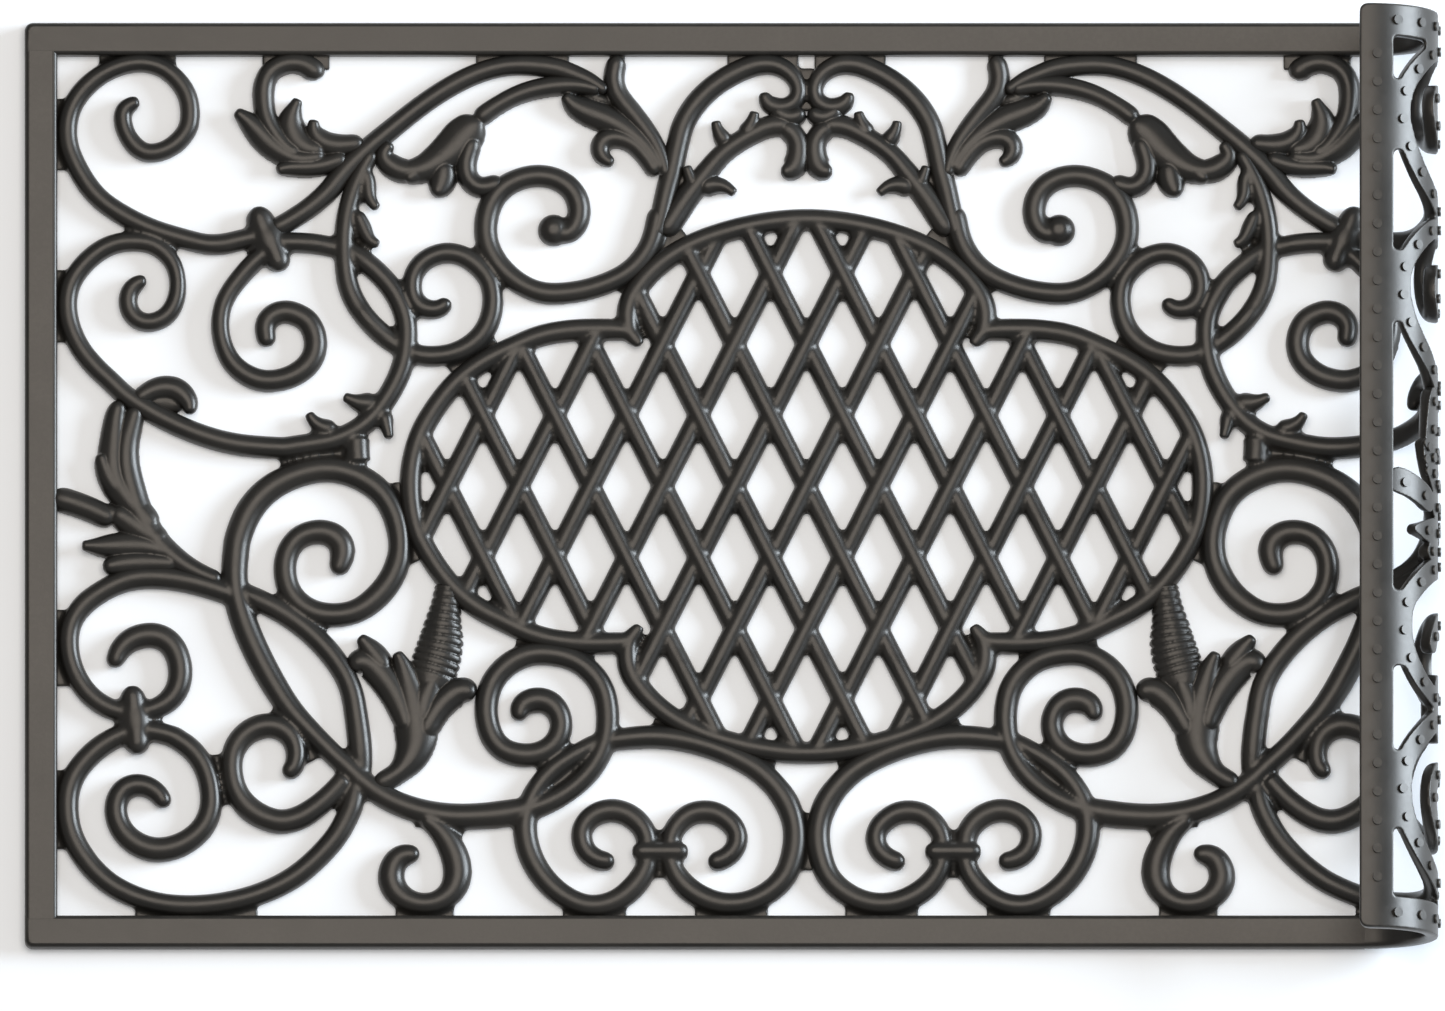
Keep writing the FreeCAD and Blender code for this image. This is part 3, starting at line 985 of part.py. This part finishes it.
for prefix, side in (("left", 1), ("right", -1)):
    parts = {
        "corner_scroll": [stroke(corner_scroll_shares, side, nose_end=False)],
        "rail_scroll": [stroke(rail_scroll_shares, side, nose_end=False, lengths=5),
                        stroke(tie_shares, side, studs=False)]
        + leaves(thorn_leaf_shares[2:], side),
        "hook_scroll": [stroke(hook_scroll_shares, side, nose_end=False)],
        "drop_scroll": [stroke(drop_scroll_shares, side, lengths=3)]
        + leaves(thorn_leaf_shares[:2], side),
        "centre_scroll": [stroke(centre_scroll_shares, side), boss(side)],
        "centre_arch": [stroke(centre_arch_shares, side)],
        "sprig": leaves(sprig_shares, side),
        "arch_stem": [stroke(arch_stem_shares, side)],
        "corner_leaf": leaves(corner_leaf_shares, side),
        "bud": [stroke(bud_stem_shares, side)] + leaves(bud_shares, side),
        "middle_leaf": leaves(middle_leaf_shares, side),
        "large_scroll": [stroke(large_scroll_shares, side, nose_end=False, lengths=3)],
        "front_scroll": [stroke(front_scroll_shares, side, nose_start=False)],
        "side_scroll": [stroke(side_scroll_shares, side, nose_start=False)],
        "front_corner_scroll": [stroke(front_corner_scroll_shares, side,
                                       nose_start=False, lengths=4)],
        "small_scroll": [stroke(small_scroll_shares, side, nose_end=False)],
        "foot_scroll": [stroke(foot_scroll_shares, side)],
        "bow_scroll": [stroke(bow_scroll_shares, side, nose_end=False)],
        "bridge_arch": [stroke(arch_scroll_shares[:13], side, nose_start=False,
                               nose_end=False)],
        "inner_loop": [stroke(arch_scroll_shares[12:], side, nose_start=False)],
        "side_leaf": leaves(side_leaf_shares, side),
        "flower": [stroke(horn_shares, side, nose_start=False,
                          ripple=rib_pitch_share * rod_width)]
        + leaves(cup_leaf_shares, side),
        "collars": [stroke([point + (collar_height_share,) for point in table], side,
                           studs=False)
                    for table in (back_collar_shares, side_collar_shares,
                                  front_collar_shares)],
        "webs": [web(table, side) for table in rail_web_shares + contact_web_shares]
        + ([web(table, side) for table in middle_web_shares] if side > 0 else []),
    }
    for name, shapes in parts.items():
        solids = [solid for shape in shapes for solid in shape.Solids]
        shape = solids[0] if len(solids) == 1 else Part.makeCompound(solids)
        keep_node("%s_%s" % (prefix, name), shape)

doc.recompute()
for item in doc.Objects:
    if "Invalid" in item.State or "Error" in item.State:
        raise RuntimeError("failed object: " + item.Name)
os.makedirs("parts", exist_ok=True)
for item in nodes:
    shape = item.Shape
    if shape.isNull() or not shape.isValid() or not shape.Solids:
        raise RuntimeError("bad shape: " + item.Label)
    shape.exportStep("parts/%s.step" % item.Label)
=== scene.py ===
import math

import bmesh
import bpy
import numpy as np
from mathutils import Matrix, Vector


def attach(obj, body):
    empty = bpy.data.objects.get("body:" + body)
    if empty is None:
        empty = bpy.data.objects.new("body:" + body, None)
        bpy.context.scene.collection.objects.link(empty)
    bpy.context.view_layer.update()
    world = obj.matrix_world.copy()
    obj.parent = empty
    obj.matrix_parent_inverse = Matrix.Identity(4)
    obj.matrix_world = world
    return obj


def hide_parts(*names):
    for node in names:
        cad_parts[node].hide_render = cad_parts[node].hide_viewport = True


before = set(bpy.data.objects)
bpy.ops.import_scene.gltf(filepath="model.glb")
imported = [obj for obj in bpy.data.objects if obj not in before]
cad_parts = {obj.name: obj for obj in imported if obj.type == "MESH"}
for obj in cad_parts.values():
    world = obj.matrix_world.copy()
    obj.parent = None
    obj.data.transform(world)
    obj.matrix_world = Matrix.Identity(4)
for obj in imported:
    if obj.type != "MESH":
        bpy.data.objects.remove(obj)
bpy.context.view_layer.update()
bpy.context.scene.view_settings.view_transform = "Standard"

MM = 0.001

# Sizes of the mat that the smoothing needs, in metres. They are the CAD model's.
UNDERSIDE = 1.2 * MM
CURL_RADIUS = 36 * MM
FLAT_HALF_LENGTH = 272 * MM
CURL_AXIS_HEIGHT = UNDERSIDE + CURL_RADIUS

SIDES = ("left", "right")
STRAIGHT_RAILS = ["front_rail", "back_rail", "left_rail"]
ROLLED_SIDES = ["front_rail_curl", "back_rail_curl"]
ROLLED_RAILS = ROLLED_SIDES + ["right_rail"]


def both(*names):
    return ["%s_%s" % (side, name) for side in SIDES for name in names]


def one_side(side, *names):
    return ["%s_%s" % (side, name) for name in names]


# The camera, at the photograph's viewing angle

IMAGE_WIDTH = 1445
PIXELS_PER_METRE = 2052
TILT = math.radians(8.7)
MIDDLE_X = -40.94 * MM
MIDDLE_Y = -8.97 * MM
CAMERA_DISTANCE = 2.4

camera_data = bpy.data.cameras.new("camera")
camera_data.type = "ORTHO"
camera_data.ortho_scale = IMAGE_WIDTH / PIXELS_PER_METRE
camera = bpy.data.objects.new("camera", camera_data)
camera.rotation_euler = (TILT, 0, 0)
camera.location = (
    MIDDLE_X,
    MIDDLE_Y - CAMERA_DISTANCE * math.sin(TILT),
    CAMERA_DISTANCE * math.cos(TILT),
)
bpy.context.scene.collection.objects.link(camera)
bpy.context.scene.camera = camera


# Node helpers

# The colour sockets of a Mix node, which share their names with the others
MIX_A = 6
MIX_B = 7
MIX_RESULT = 2


def put(tree, node, key, value):
    if isinstance(value, bpy.types.NodeSocket):
        tree.links.new(value, node.inputs[key])
    else:
        node.inputs[key].default_value = value


def noise(tree, place, scale, detail):
    node = tree.nodes.new("ShaderNodeTexNoise")
    tree.links.new(place, node.inputs["Vector"])
    node.inputs["Scale"].default_value = scale
    node.inputs["Detail"].default_value = detail
    return node.outputs["Fac"]


def maths(tree, kind, a, b):
    node = tree.nodes.new("ShaderNodeMath")
    node.operation = kind
    put(tree, node, 0, a)
    put(tree, node, 1, b)
    return node.outputs[0]


def spread(tree, value, from_low, from_high, to_low, to_high):
    node = tree.nodes.new("ShaderNodeMapRange")
    node.clamp = True
    put(tree, node, "Value", value)
    put(tree, node, "From Min", from_low)
    put(tree, node, "From Max", from_high)
    put(tree, node, "To Min", to_low)
    put(tree, node, "To Max", to_high)
    return node.outputs[0]


def mix_colour(tree, share, a, b):
    node = tree.nodes.new("ShaderNodeMix")
    node.data_type = "RGBA"
    put(tree, node, "Factor", share)
    put(tree, node, MIX_A, a)
    put(tree, node, MIX_B, b)
    return node.outputs[MIX_RESULT]


# Moulded rubber: near black and satin, a little browner and paler where edges are rubbed

RUBBER_DARK = (0.011, 0.0105, 0.0095, 1)
RUBBER_LIGHT = (0.018, 0.0165, 0.0145, 1)
RUBBER_WORN = (0.032, 0.029, 0.025, 1)
RUBBER_SHINE = (1.0, 0.94, 0.88, 1)
RUBBER_SPECULAR = 0.5
BORDER_ROUGHNESS = (0.34, 0.40)
SCROLL_ROUGHNESS = (0.33, 0.40)

# Noise scales, per metre, and detail
CLOUDS = 38
RIPPLES = 120
SPECKLES = 420
GRAINS = 1900
CLOUD_DETAIL = 3
FINE_DETAIL = 2

# Ranges of the noise and of the edges' pointiness that are used, and how they are shared
NOISE_RANGE = (0.35, 0.65)
EDGE_RANGE = (0.52, 0.60)
SPECKLE_RANGE = (0.40, 0.62)
MOST_RUBBED = 0.7
LEAST_SPECKLED = 0.25
CLOUD_SHARE = 0.6
SPECKLE_SHARE = 0.4
GRAIN_SHARE = 0.35
RIPPLE_SHARE = 0.65
BUMP_STRENGTH = 0.08
BUMP_DEPTH = 0.4 * MM


def rubber(name, roughness):
    material = bpy.data.materials.new(name)
    material.use_nodes = True
    tree = material.node_tree
    shader = tree.nodes["Principled BSDF"]
    place = tree.nodes.new("ShaderNodeTexCoord").outputs["Object"]
    cloudy = noise(tree, place, CLOUDS, CLOUD_DETAIL)
    speckle = noise(tree, place, SPECKLES, FINE_DETAIL)
    grain = noise(tree, place, GRAINS, FINE_DETAIL)
    ripple = noise(tree, place, RIPPLES, FINE_DETAIL)
    body = mix_colour(tree, spread(tree, cloudy, *NOISE_RANGE, 0, 1), RUBBER_DARK, RUBBER_LIGHT)
    edge = tree.nodes.new("ShaderNodeNewGeometry").outputs["Pointiness"]
    rubbed = maths(tree, "MULTIPLY", spread(tree, edge, *EDGE_RANGE, 0, MOST_RUBBED),
                   spread(tree, speckle, *SPECKLE_RANGE, LEAST_SPECKLED, 1))
    tree.links.new(mix_colour(tree, rubbed, body, RUBBER_WORN), shader.inputs["Base Color"])
    uneven = maths(tree, "ADD", maths(tree, "MULTIPLY", cloudy, CLOUD_SHARE),
                   maths(tree, "MULTIPLY", speckle, SPECKLE_SHARE))
    tree.links.new(spread(tree, uneven, *NOISE_RANGE, *roughness), shader.inputs["Roughness"])
    height = maths(tree, "ADD", maths(tree, "MULTIPLY", grain, GRAIN_SHARE),
                   maths(tree, "MULTIPLY", ripple, RIPPLE_SHARE))
    bump = tree.nodes.new("ShaderNodeBump")
    bump.inputs["Strength"].default_value = BUMP_STRENGTH
    bump.inputs["Distance"].default_value = BUMP_DEPTH
    tree.links.new(height, bump.inputs["Height"])
    tree.links.new(bump.outputs["Normal"], shader.inputs["Normal"])
    shader.inputs["Specular IOR Level"].default_value = RUBBER_SPECULAR
    shader.inputs["Specular Tint"].default_value = RUBBER_SHINE
    return material


border_rubber = rubber("border_rubber", BORDER_ROUGHNESS)
scroll_rubber = rubber("scroll_rubber", SCROLL_ROUGHNESS)


# The moulded forms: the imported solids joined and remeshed, the narrow corners between
# them filled as in a mould, and crisp studs set back under them

VOXEL = 0.85 * MM
LEAF_VOXEL = 0.60 * MM
FILLET = 1.0 * MM

# How often the surface is smoothed, by what shares, and how much is given back after it
ROD_ROUNDS = 5
LEAF_ROUNDS = 3
IN_SHARE = 0.5
OUT_SHARE = 0.53
ROD_SWELL = 0.30 * MM
LEAF_SWELL = 0.22 * MM

# Webs lie lower than the rods. Hair-thin steps keep pieces out of each other's planes
WEB_SINK = 0.5
UNDERSIDE_GAP = 0.03 * MM
TUCK = 0.05 * MM

STUD_RADIUS = 2.3 * MM
STUD_HEIGHT = 1.2 * MM
STUD_ROOT = 0.6 * MM
STUD_SIDES = 28

# The stretch of a straight rail that its curl grows from
ROOT_LENGTH = 14 * MM
ROOT_LAP = 1 * MM
ROOT_INSET = 0.15 * MM

WELD = 0.001 * MM
SAME_SPOT = 0.01 * MM
SHARP_EDGE = math.radians(30)
FLATTEST = 100

# Low humps of rubber, by part on both halves or by node on one: they fill thin slots
# between neighbouring rods and round out the knots. Middle, half sizes and turn, in
# millimetres and degrees, on the left half
HUMPS = {
    "middle_leaf": [(-101.6, 191.0, 8.5, 3.6, 4.6, -15)],
    "inner_loop": [(-117.2, -142.5, 12.0, 3.0, 3.2, 39)],
    "sprig": [(-60.7, 150.8, 5.0, 2.4, 3.0, 65)],
    "collars": [(-262.3, 121.7, 15.0, 9.0, 8.8, -66)],
    "left_collars": [(-327.3, -115.4, 16.5, 9.0, 8.8, -83)],
    "left_side_leaf": [(-338.2, -13.7, 8.5, 4.6, 6.4, -24)],
    "left_arch_stem": [(0.0, 165.0, 8.5, 6.0, 5.4, 90)],
}
HUMP_RINGS = 10
HUMP_SPOKES = 20


def local_up(points):
    """The mat's own upward direction and the height over its underside at each point."""
    x, z = points[:, 0], points[:, 2]
    dx, dz = x - FLAT_HALF_LENGTH, z - CURL_AXIS_HEIGHT
    reach = np.maximum(np.hypot(dx, dz), MM)
    rolled = x > FLAT_HALF_LENGTH
    over = ~rolled & (z > CURL_AXIS_HEIGHT)
    height = np.where(rolled, CURL_RADIUS - reach, z - UNDERSIDE)
    height = np.where(over, UNDERSIDE + CURL_RADIUS * 2 - z, height)
    up = np.zeros(points.shape)
    up[:, 0] = np.where(rolled, -dx / reach, 0)
    up[:, 2] = np.where(rolled, -dz / reach, np.where(over, -1.0, 1.0))
    return up, height


def hump(side, x, y, half_along, half_across, rise, turn):
    """Points and triangles of half an egg standing on the mat's underside."""
    sign = 1 if side == "left" else -1
    angle = math.radians(turn)
    points, faces = [], []
    for ring in range(HUMP_RINGS + 1):
        tilt = math.pi * ring / HUMP_RINGS
        for spoke in range(HUMP_SPOKES):
            way = math.tau * spoke / HUMP_SPOKES
            along = half_along * math.sin(tilt) * math.cos(way)
            across = half_across * math.sin(tilt) * math.sin(way)
            up = max(rise * math.cos(tilt), 0)
            px = x + along * math.cos(angle) - across * math.sin(angle)
            py = y + along * math.sin(angle) + across * math.cos(angle)
            points.append((px * sign * MM, py * MM, UNDERSIDE + up * MM))
    for ring in range(HUMP_RINGS):
        for spoke in range(HUMP_SPOKES):
            a = ring * HUMP_SPOKES + spoke
            b = ring * HUMP_SPOKES + (spoke + 1) % HUMP_SPOKES
            c, d = a + HUMP_SPOKES, b + HUMP_SPOKES
            faces += [(a, c, b), (b, c, d)] if sign > 0 else [(a, b, c), (b, d, c)]
    return np.array(points), np.array(faces)


def stud_middles(points, corners):
    """Middles of the flat ends of a node's studs: the end caps that hang together by
    shared corners are one stud's."""
    low = local_up(points)[1] < -STUD_HEIGHT / 2
    caps = corners[low[corners].all(axis=1)]
    if not len(caps):
        return np.zeros((0, 3))
    keys = np.round(points / SAME_SPOT).astype(np.int64)
    _, label = np.unique(keys, axis=0, return_inverse=True)
    label = label.ravel()
    spot = np.zeros((label.max() + 1, 3))
    spot[label] = points
    caps = label[caps]
    group = np.arange(len(spot))
    while True:
        least = group[caps].min(axis=1)
        fresh = group.copy()
        for k in range(3):
            np.minimum.at(fresh, caps[:, k], least)
        if (fresh == group).all():
            break
        group = fresh
    used = np.unique(caps)
    names, place = np.unique(group[used], return_inverse=True)
    total = np.zeros((len(names), 3))
    np.add.at(total, place.ravel(), spot[used])
    return total / np.bincount(place.ravel())[:, None]


def slimmed(points, inset, sideways):
    """Points of a rail drawn in from its top and underside, and from its sides along y."""
    up, height = local_up(points)
    middle, half = (height.max() + height.min()) / 2, (height.max() - height.min()) / 2
    points = points - up * ((height - middle) * inset / half)[:, None]
    if sideways:
        y = points[:, 1]
        middle, half = (y.max() + y.min()) / 2, (y.max() - y.min()) / 2
        points[:, 1] = y - (y - middle) * inset / half
    return points


def node_shapes(nodes):
    """Joined points and triangles of the nodes without their studs, and the studs' middles."""
    points, faces, studs = [], [], []
    start = 0
    for node in nodes:
        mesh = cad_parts[node].data
        place = points_of(mesh)
        mesh.calc_loop_triangles()
        corners = np.empty(len(mesh.loop_triangles) * 3, dtype=np.int64)
        mesh.loop_triangles.foreach_get("vertices", corners)
        corners = corners.reshape(-1, 3)
        studs.append(stud_middles(place, corners))
        up, height = local_up(place)
        place = place - up * np.minimum(height, 0)[:, None]
        if node in ROLLED_RAILS:
            place = slimmed(place, ROD_SWELL, node in ROLLED_SIDES)
        side, _, part = node.partition("_")
        if part == "webs":
            place = place - up * np.maximum(height, 0)[:, None] * WEB_SINK
        shapes = [(place, corners)]
        for sizes in HUMPS.get(part, []) + HUMPS.get(node, []):
            shapes.append(hump(side, *sizes))
        for place, corners in shapes:
            points.append(place)
            faces.append(corners + start)
            start += len(place)
    return np.concatenate(points), np.concatenate(faces), np.concatenate(studs)


def rail_root(node):
    """The last stretch of a straight rail, a hair slimmer, as the root of its curl."""
    work = bmesh.new()
    work.from_mesh(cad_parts[node].data)
    bmesh.ops.remove_doubles(work, verts=work.verts, dist=WELD)
    everything = list(work.verts) + list(work.edges) + list(work.faces)
    cut = bmesh.ops.bisect_plane(
        work, geom=everything, plane_co=(FLAT_HALF_LENGTH - ROOT_LENGTH, 0, 0),
        plane_no=(1, 0, 0), clear_inner=True)
    rim = [item for item in cut["geom_cut"] if isinstance(item, bmesh.types.BMEdge)]
    bmesh.ops.holes_fill(work, edges=rim, sides=0)
    bmesh.ops.triangulate(work, faces=work.faces)
    points = np.array([corner.co[:] for corner in work.verts])
    work.verts.index_update()
    faces = np.array([[corner.index for corner in face.verts] for face in work.faces])
    work.free()
    up, height = local_up(points)
    points = slimmed(points - up * np.minimum(height, 0)[:, None],
                     ROD_SWELL + ROOT_INSET, True)
    points[points[:, 0] > FLAT_HALF_LENGTH - WELD, 0] += ROOT_LAP
    return points, faces


def mesh_of(name, points, faces):
    mesh = bpy.data.meshes.new(name)
    mesh.from_pydata(points.tolist(), [], faces.tolist())
    mesh.update()
    return mesh


def points_of(mesh):
    place = np.empty(len(mesh.vertices) * 3)
    mesh.vertices.foreach_get("co", place)
    return place.reshape(-1, 3)


def remeshed(mesh, voxel):
    scratch = bpy.data.objects.new("scratch", mesh)
    bpy.context.scene.collection.objects.link(scratch)
    remesh = scratch.modifiers.new("remesh", "REMESH")
    remesh.mode = "VOXEL"
    remesh.voxel_size = voxel * 1
    remesh.adaptivity = 0
    graph = bpy.context.evaluated_depsgraph_get()
    fresh = bpy.data.meshes.new_from_object(scratch.evaluated_get(graph), depsgraph=graph)
    bpy.data.objects.remove(scratch)
    bpy.data.meshes.remove(mesh)
    return fresh


def pushed(mesh, out):
    """Moves every point out along its normal."""
    normal = np.empty(len(mesh.vertices) * 3)
    mesh.vertices.foreach_get("normal", normal)
    points = points_of(mesh) + normal.reshape(-1, 3) * out
    mesh.vertices.foreach_set("co", points.ravel())
    mesh.update()


def softened(mesh, rounds, swell, layer):
    """Rounds off the steps of the remesh in pairs of moves, one in and one out, then
    gives back what the remesh took off, down to a hair inside the rails' underside. Each
    layer's underside lies in a plane of its own."""
    points = points_of(mesh)
    count = len(points)
    ends = np.empty(len(mesh.edges) * 2, dtype=np.int64)
    mesh.edges.foreach_get("vertices", ends)
    ends = ends.reshape(-1, 2)
    number = np.maximum(np.bincount(ends.ravel(), minlength=count), 1).astype(float)
    for _ in range(rounds):
        for share in (IN_SHARE, -OUT_SHARE):
            total = np.empty((count, 3))
            for axis in range(3):
                value = points[:, axis]
                total[:, axis] = (
                    np.bincount(ends[:, 0], weights=value[ends[:, 1]], minlength=count)
                    + np.bincount(ends[:, 1], weights=value[ends[:, 0]], minlength=count)
                )
            points += (total / number[:, None] - points) * share
    mesh.vertices.foreach_set("co", points.ravel())
    mesh.update()
    pushed(mesh, swell)
    points = points_of(mesh)
    up, height = local_up(points)
    points -= up * np.minimum(height - UNDERSIDE_GAP * layer, 0)[:, None]
    mesh.vertices.foreach_set("co", points.ravel())
    mesh.update()


def quads_of(mesh):
    corners = np.empty(len(mesh.loops), dtype=np.int64)
    mesh.loops.foreach_get("vertex_index", corners)
    return corners.reshape(-1, 4)


def crisp_studs(middles, start):
    """Round studs at these middles: points, faces, and which faces are flat."""
    up = local_up(middles)[0]
    along = np.zeros(up.shape)
    along[:, 0], along[:, 2] = up[:, 2], -up[:, 0]
    across = np.cross(up, along)
    points, faces, flat = [], [], []
    for k in range(STUD_SIDES):
        turn = math.tau * k / STUD_SIDES
        spoke = (along * math.cos(turn) + across * math.sin(turn)) * STUD_RADIUS
        points.append(middles + spoke)
        points.append(middles + spoke + up * (STUD_HEIGHT + STUD_ROOT))
    points = np.stack(points, axis=1).reshape(-1, 3)
    size = STUD_SIDES * 2
    for number in range(len(middles)):
        first = start + number * size
        ring = [first + k * 2 for k in range(STUD_SIDES)]
        for k in range(STUD_SIDES):
            here, there = ring[k], ring[(k + 1) % STUD_SIDES]
            faces.append((here, there, there + 1, here + 1))
            flat.append(False)
        faces.append(tuple(reversed(ring)))
        faces.append(tuple(corner + 1 for corner in ring))
        flat += [True, True]
    return points, faces, flat


def moulded(name, rods, leaves, material, layer, roots=()):
    """One piece: rods filled at their joints, leaves kept sharper, and their studs."""
    points, faces, studs = node_shapes(rods)
    for node in roots:
        more, corners = rail_root(node)
        faces = np.concatenate([faces, corners + len(points)])
        points = np.concatenate([points, more])
    mesh = remeshed(mesh_of(name, points, faces), VOXEL)
    pushed(mesh, FILLET)
    mesh = remeshed(mesh, VOXEL)
    pushed(mesh, -FILLET)
    softened(mesh, ROD_ROUNDS, ROD_SWELL, layer)
    all_points, all_faces = [points_of(mesh)], [quads_of(mesh)]
    if leaves:
        points, faces, more = node_shapes(leaves)
        leaf = remeshed(mesh_of(name, points, faces), LEAF_VOXEL)
        softened(leaf, LEAF_ROUNDS, LEAF_SWELL, layer + 1)
        all_faces.append(quads_of(leaf) + len(all_points[0]))
        all_points.append(points_of(leaf))
        studs = np.concatenate([studs, more])
    points = np.concatenate(all_points)
    faces = np.concatenate(all_faces).tolist()
    stud_points, stud_faces, flat = crisp_studs(studs, len(points))
    mesh = bpy.data.meshes.new(name)
    mesh.from_pydata(np.concatenate([points, stud_points]).tolist(), [], faces + stud_faces)
    mesh.polygons.foreach_set("use_smooth", [True] * len(faces) + [not f for f in flat])
    mesh.update()
    piece_of(name, mesh, rods + leaves, material)


def piece_of(name, mesh, nodes, material):
    piece = bpy.data.objects.new(name, mesh)
    bpy.context.scene.collection.objects.link(piece)
    mesh.materials.append(material)
    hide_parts(*nodes)
    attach(piece, "root")
    return piece


def tucked(points):
    """Points of the left rail drawn in a hair, so that its outer face and underside don't
    share a plane with those of the rails that it runs into."""
    up, height = local_up(points)
    body = height > -WELD
    x, middle_height = points[:, 0], height.max() / 2
    middle, half = (x.max() + x.min()) / 2, (x.max() - x.min()) / 2
    points[:, 0] = x - (x - middle) * TUCK / half
    points[body, 2] -= (height[body] - middle_height) * TUCK / middle_height
    return points


def crisp(name, nodes, material):
    """The straight rails, as they are in the model, smooth but for their sharp edges."""
    work = bmesh.new()
    for node in nodes:
        one = bmesh.new()
        one.from_mesh(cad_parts[node].data)
        bmesh.ops.remove_doubles(one, verts=one.verts, dist=WELD)
        mesh = bpy.data.meshes.new(node)
        one.to_mesh(mesh)
        one.free()
        if node == "left_rail":
            mesh.vertices.foreach_set("co", tucked(points_of(mesh)).ravel())
        work.from_mesh(mesh)
        bpy.data.meshes.remove(mesh)
    mesh = bpy.data.meshes.new(name)
    work.to_mesh(mesh)
    work.free()
    mesh.shade_smooth()
    mesh.set_sharp_from_angle(angle=SHARP_EDGE)
    piece = piece_of(name, mesh, nodes, material)
    weighted = piece.modifiers.new("flat_faces_stay_flat", "WEIGHTED_NORMAL")
    weighted.keep_sharp = True
    weighted.weight = FLATTEST


MEDALLION = ["ring_left", "ring_right", "ring_back", "ring_front", "lattice_rising_bars",
             "lattice_falling_bars"]
SCROLLS = ["corner_scroll", "rail_scroll", "hook_scroll", "drop_scroll", "centre_scroll",
           "side_scroll", "front_corner_scroll", "small_scroll", "large_scroll", "foot_scroll",
           "bow_scroll", "bridge_arch", "inner_loop", "front_scroll", "webs", "collars"]
FOLIAGE = ["corner_leaf", "bud", "middle_leaf", "side_leaf", "flower"]

crisp("border", STRAIGHT_RAILS, border_rubber)
moulded("medallion", MEDALLION, [], scroll_rubber, layer=1)
moulded("crest", both("centre_arch", "arch_stem"), both("sprig"), scroll_rubber, layer=2)
moulded("left_scrollwork", one_side("left", *SCROLLS), one_side("left", *FOLIAGE),
        scroll_rubber, layer=4)
moulded("right_scrollwork", ROLLED_RAILS + one_side("right", *SCROLLS),
        one_side("right", *FOLIAGE), scroll_rubber, layer=6,
        roots=("front_rail", "back_rail"))


# The floor: plain and pale, lit by the same lamps, with the object's shadow on it

FLOOR_HALF = 6.0
FLOOR_COLOUR = (0.89, 0.90, 0.915, 1)
FLOOR_LIFT = 0.10
FLOOR_ROUGHNESS = 0.9

floor_mesh = bpy.data.meshes.new("floor")
floor_mesh.from_pydata(
    [(-FLOOR_HALF, -FLOOR_HALF, 0), (FLOOR_HALF, -FLOOR_HALF, 0),
     (FLOOR_HALF, FLOOR_HALF, 0), (-FLOOR_HALF, FLOOR_HALF, 0)], [], [(0, 1, 2, 3)])
floor = bpy.data.objects.new("floor", floor_mesh)
bpy.context.scene.collection.objects.link(floor)
floor_material = bpy.data.materials.new("floor")
floor_material.use_nodes = True
tree = floor_material.node_tree
shader = tree.nodes["Principled BSDF"]
shader.inputs["Base Color"].default_value = FLOOR_COLOUR
shader.inputs["Roughness"].default_value = FLOOR_ROUGHNESS
shader.inputs["Specular IOR Level"].default_value = 0.0
rays = tree.nodes.new("ShaderNodeLightPath")
seen = maths(tree, "MAXIMUM", rays.outputs["Is Camera Ray"],
             maths(tree, "MAXIMUM", rays.outputs["Is Glossy Ray"],
                   rays.outputs["Is Transmission Ray"]))
shader.inputs["Emission Color"].default_value = (1, 1, 1, 1)
tree.links.new(maths(tree, "MULTIPLY", seen, FLOOR_LIFT), shader.inputs["Emission Strength"])
floor_mesh.materials.append(floor_material)


# The light: a soft box overhead, a large soft lamp low on the right, and an even room

ROOM_COLOUR = (0.94, 0.97, 1.0, 1)
ROOM_STRENGTH = 0.30
OVERHEAD_PLACE = (0.0, 0.4, 3.0)
OVERHEAD_AIM = (0.0, 0.4, 0.0)
OVERHEAD_SIZE = (2.4, 2.0)
OVERHEAD_POWER = 54
OVERHEAD_COLOUR = (1.0, 0.94, 0.87)
SIDE_PLACE = (2.81, 0.6, 0.88)
SIDE_AIM = (0.0, 0.0, 0.0)
SIDE_SIZE = (1.6, 1.6)
SIDE_POWER = 190
SIDE_COLOUR = (0.76, 0.88, 1.0)

world = bpy.data.worlds.new("room")
world.use_nodes = True
world.node_tree.nodes["Background"].inputs["Color"].default_value = ROOM_COLOUR
world.node_tree.nodes["Background"].inputs["Strength"].default_value = ROOM_STRENGTH
bpy.context.scene.world = world


def lamp(name, place, aim, size, power, colour):
    data = bpy.data.lights.new(name, "AREA")
    data.shape = "RECTANGLE"
    data.size, data.size_y = size
    data.energy = power
    data.color = colour
    light = bpy.data.objects.new(name, data)
    light.location = place
    way = Vector(aim) - Vector(place)
    light.rotation_euler = way.to_track_quat("-Z", "Y").to_euler()
    bpy.context.scene.collection.objects.link(light)


lamp("overhead", OVERHEAD_PLACE, OVERHEAD_AIM, OVERHEAD_SIZE, OVERHEAD_POWER, OVERHEAD_COLOUR)
lamp("right_side", SIDE_PLACE, SIDE_AIM, SIDE_SIZE, SIDE_POWER, SIDE_COLOUR)
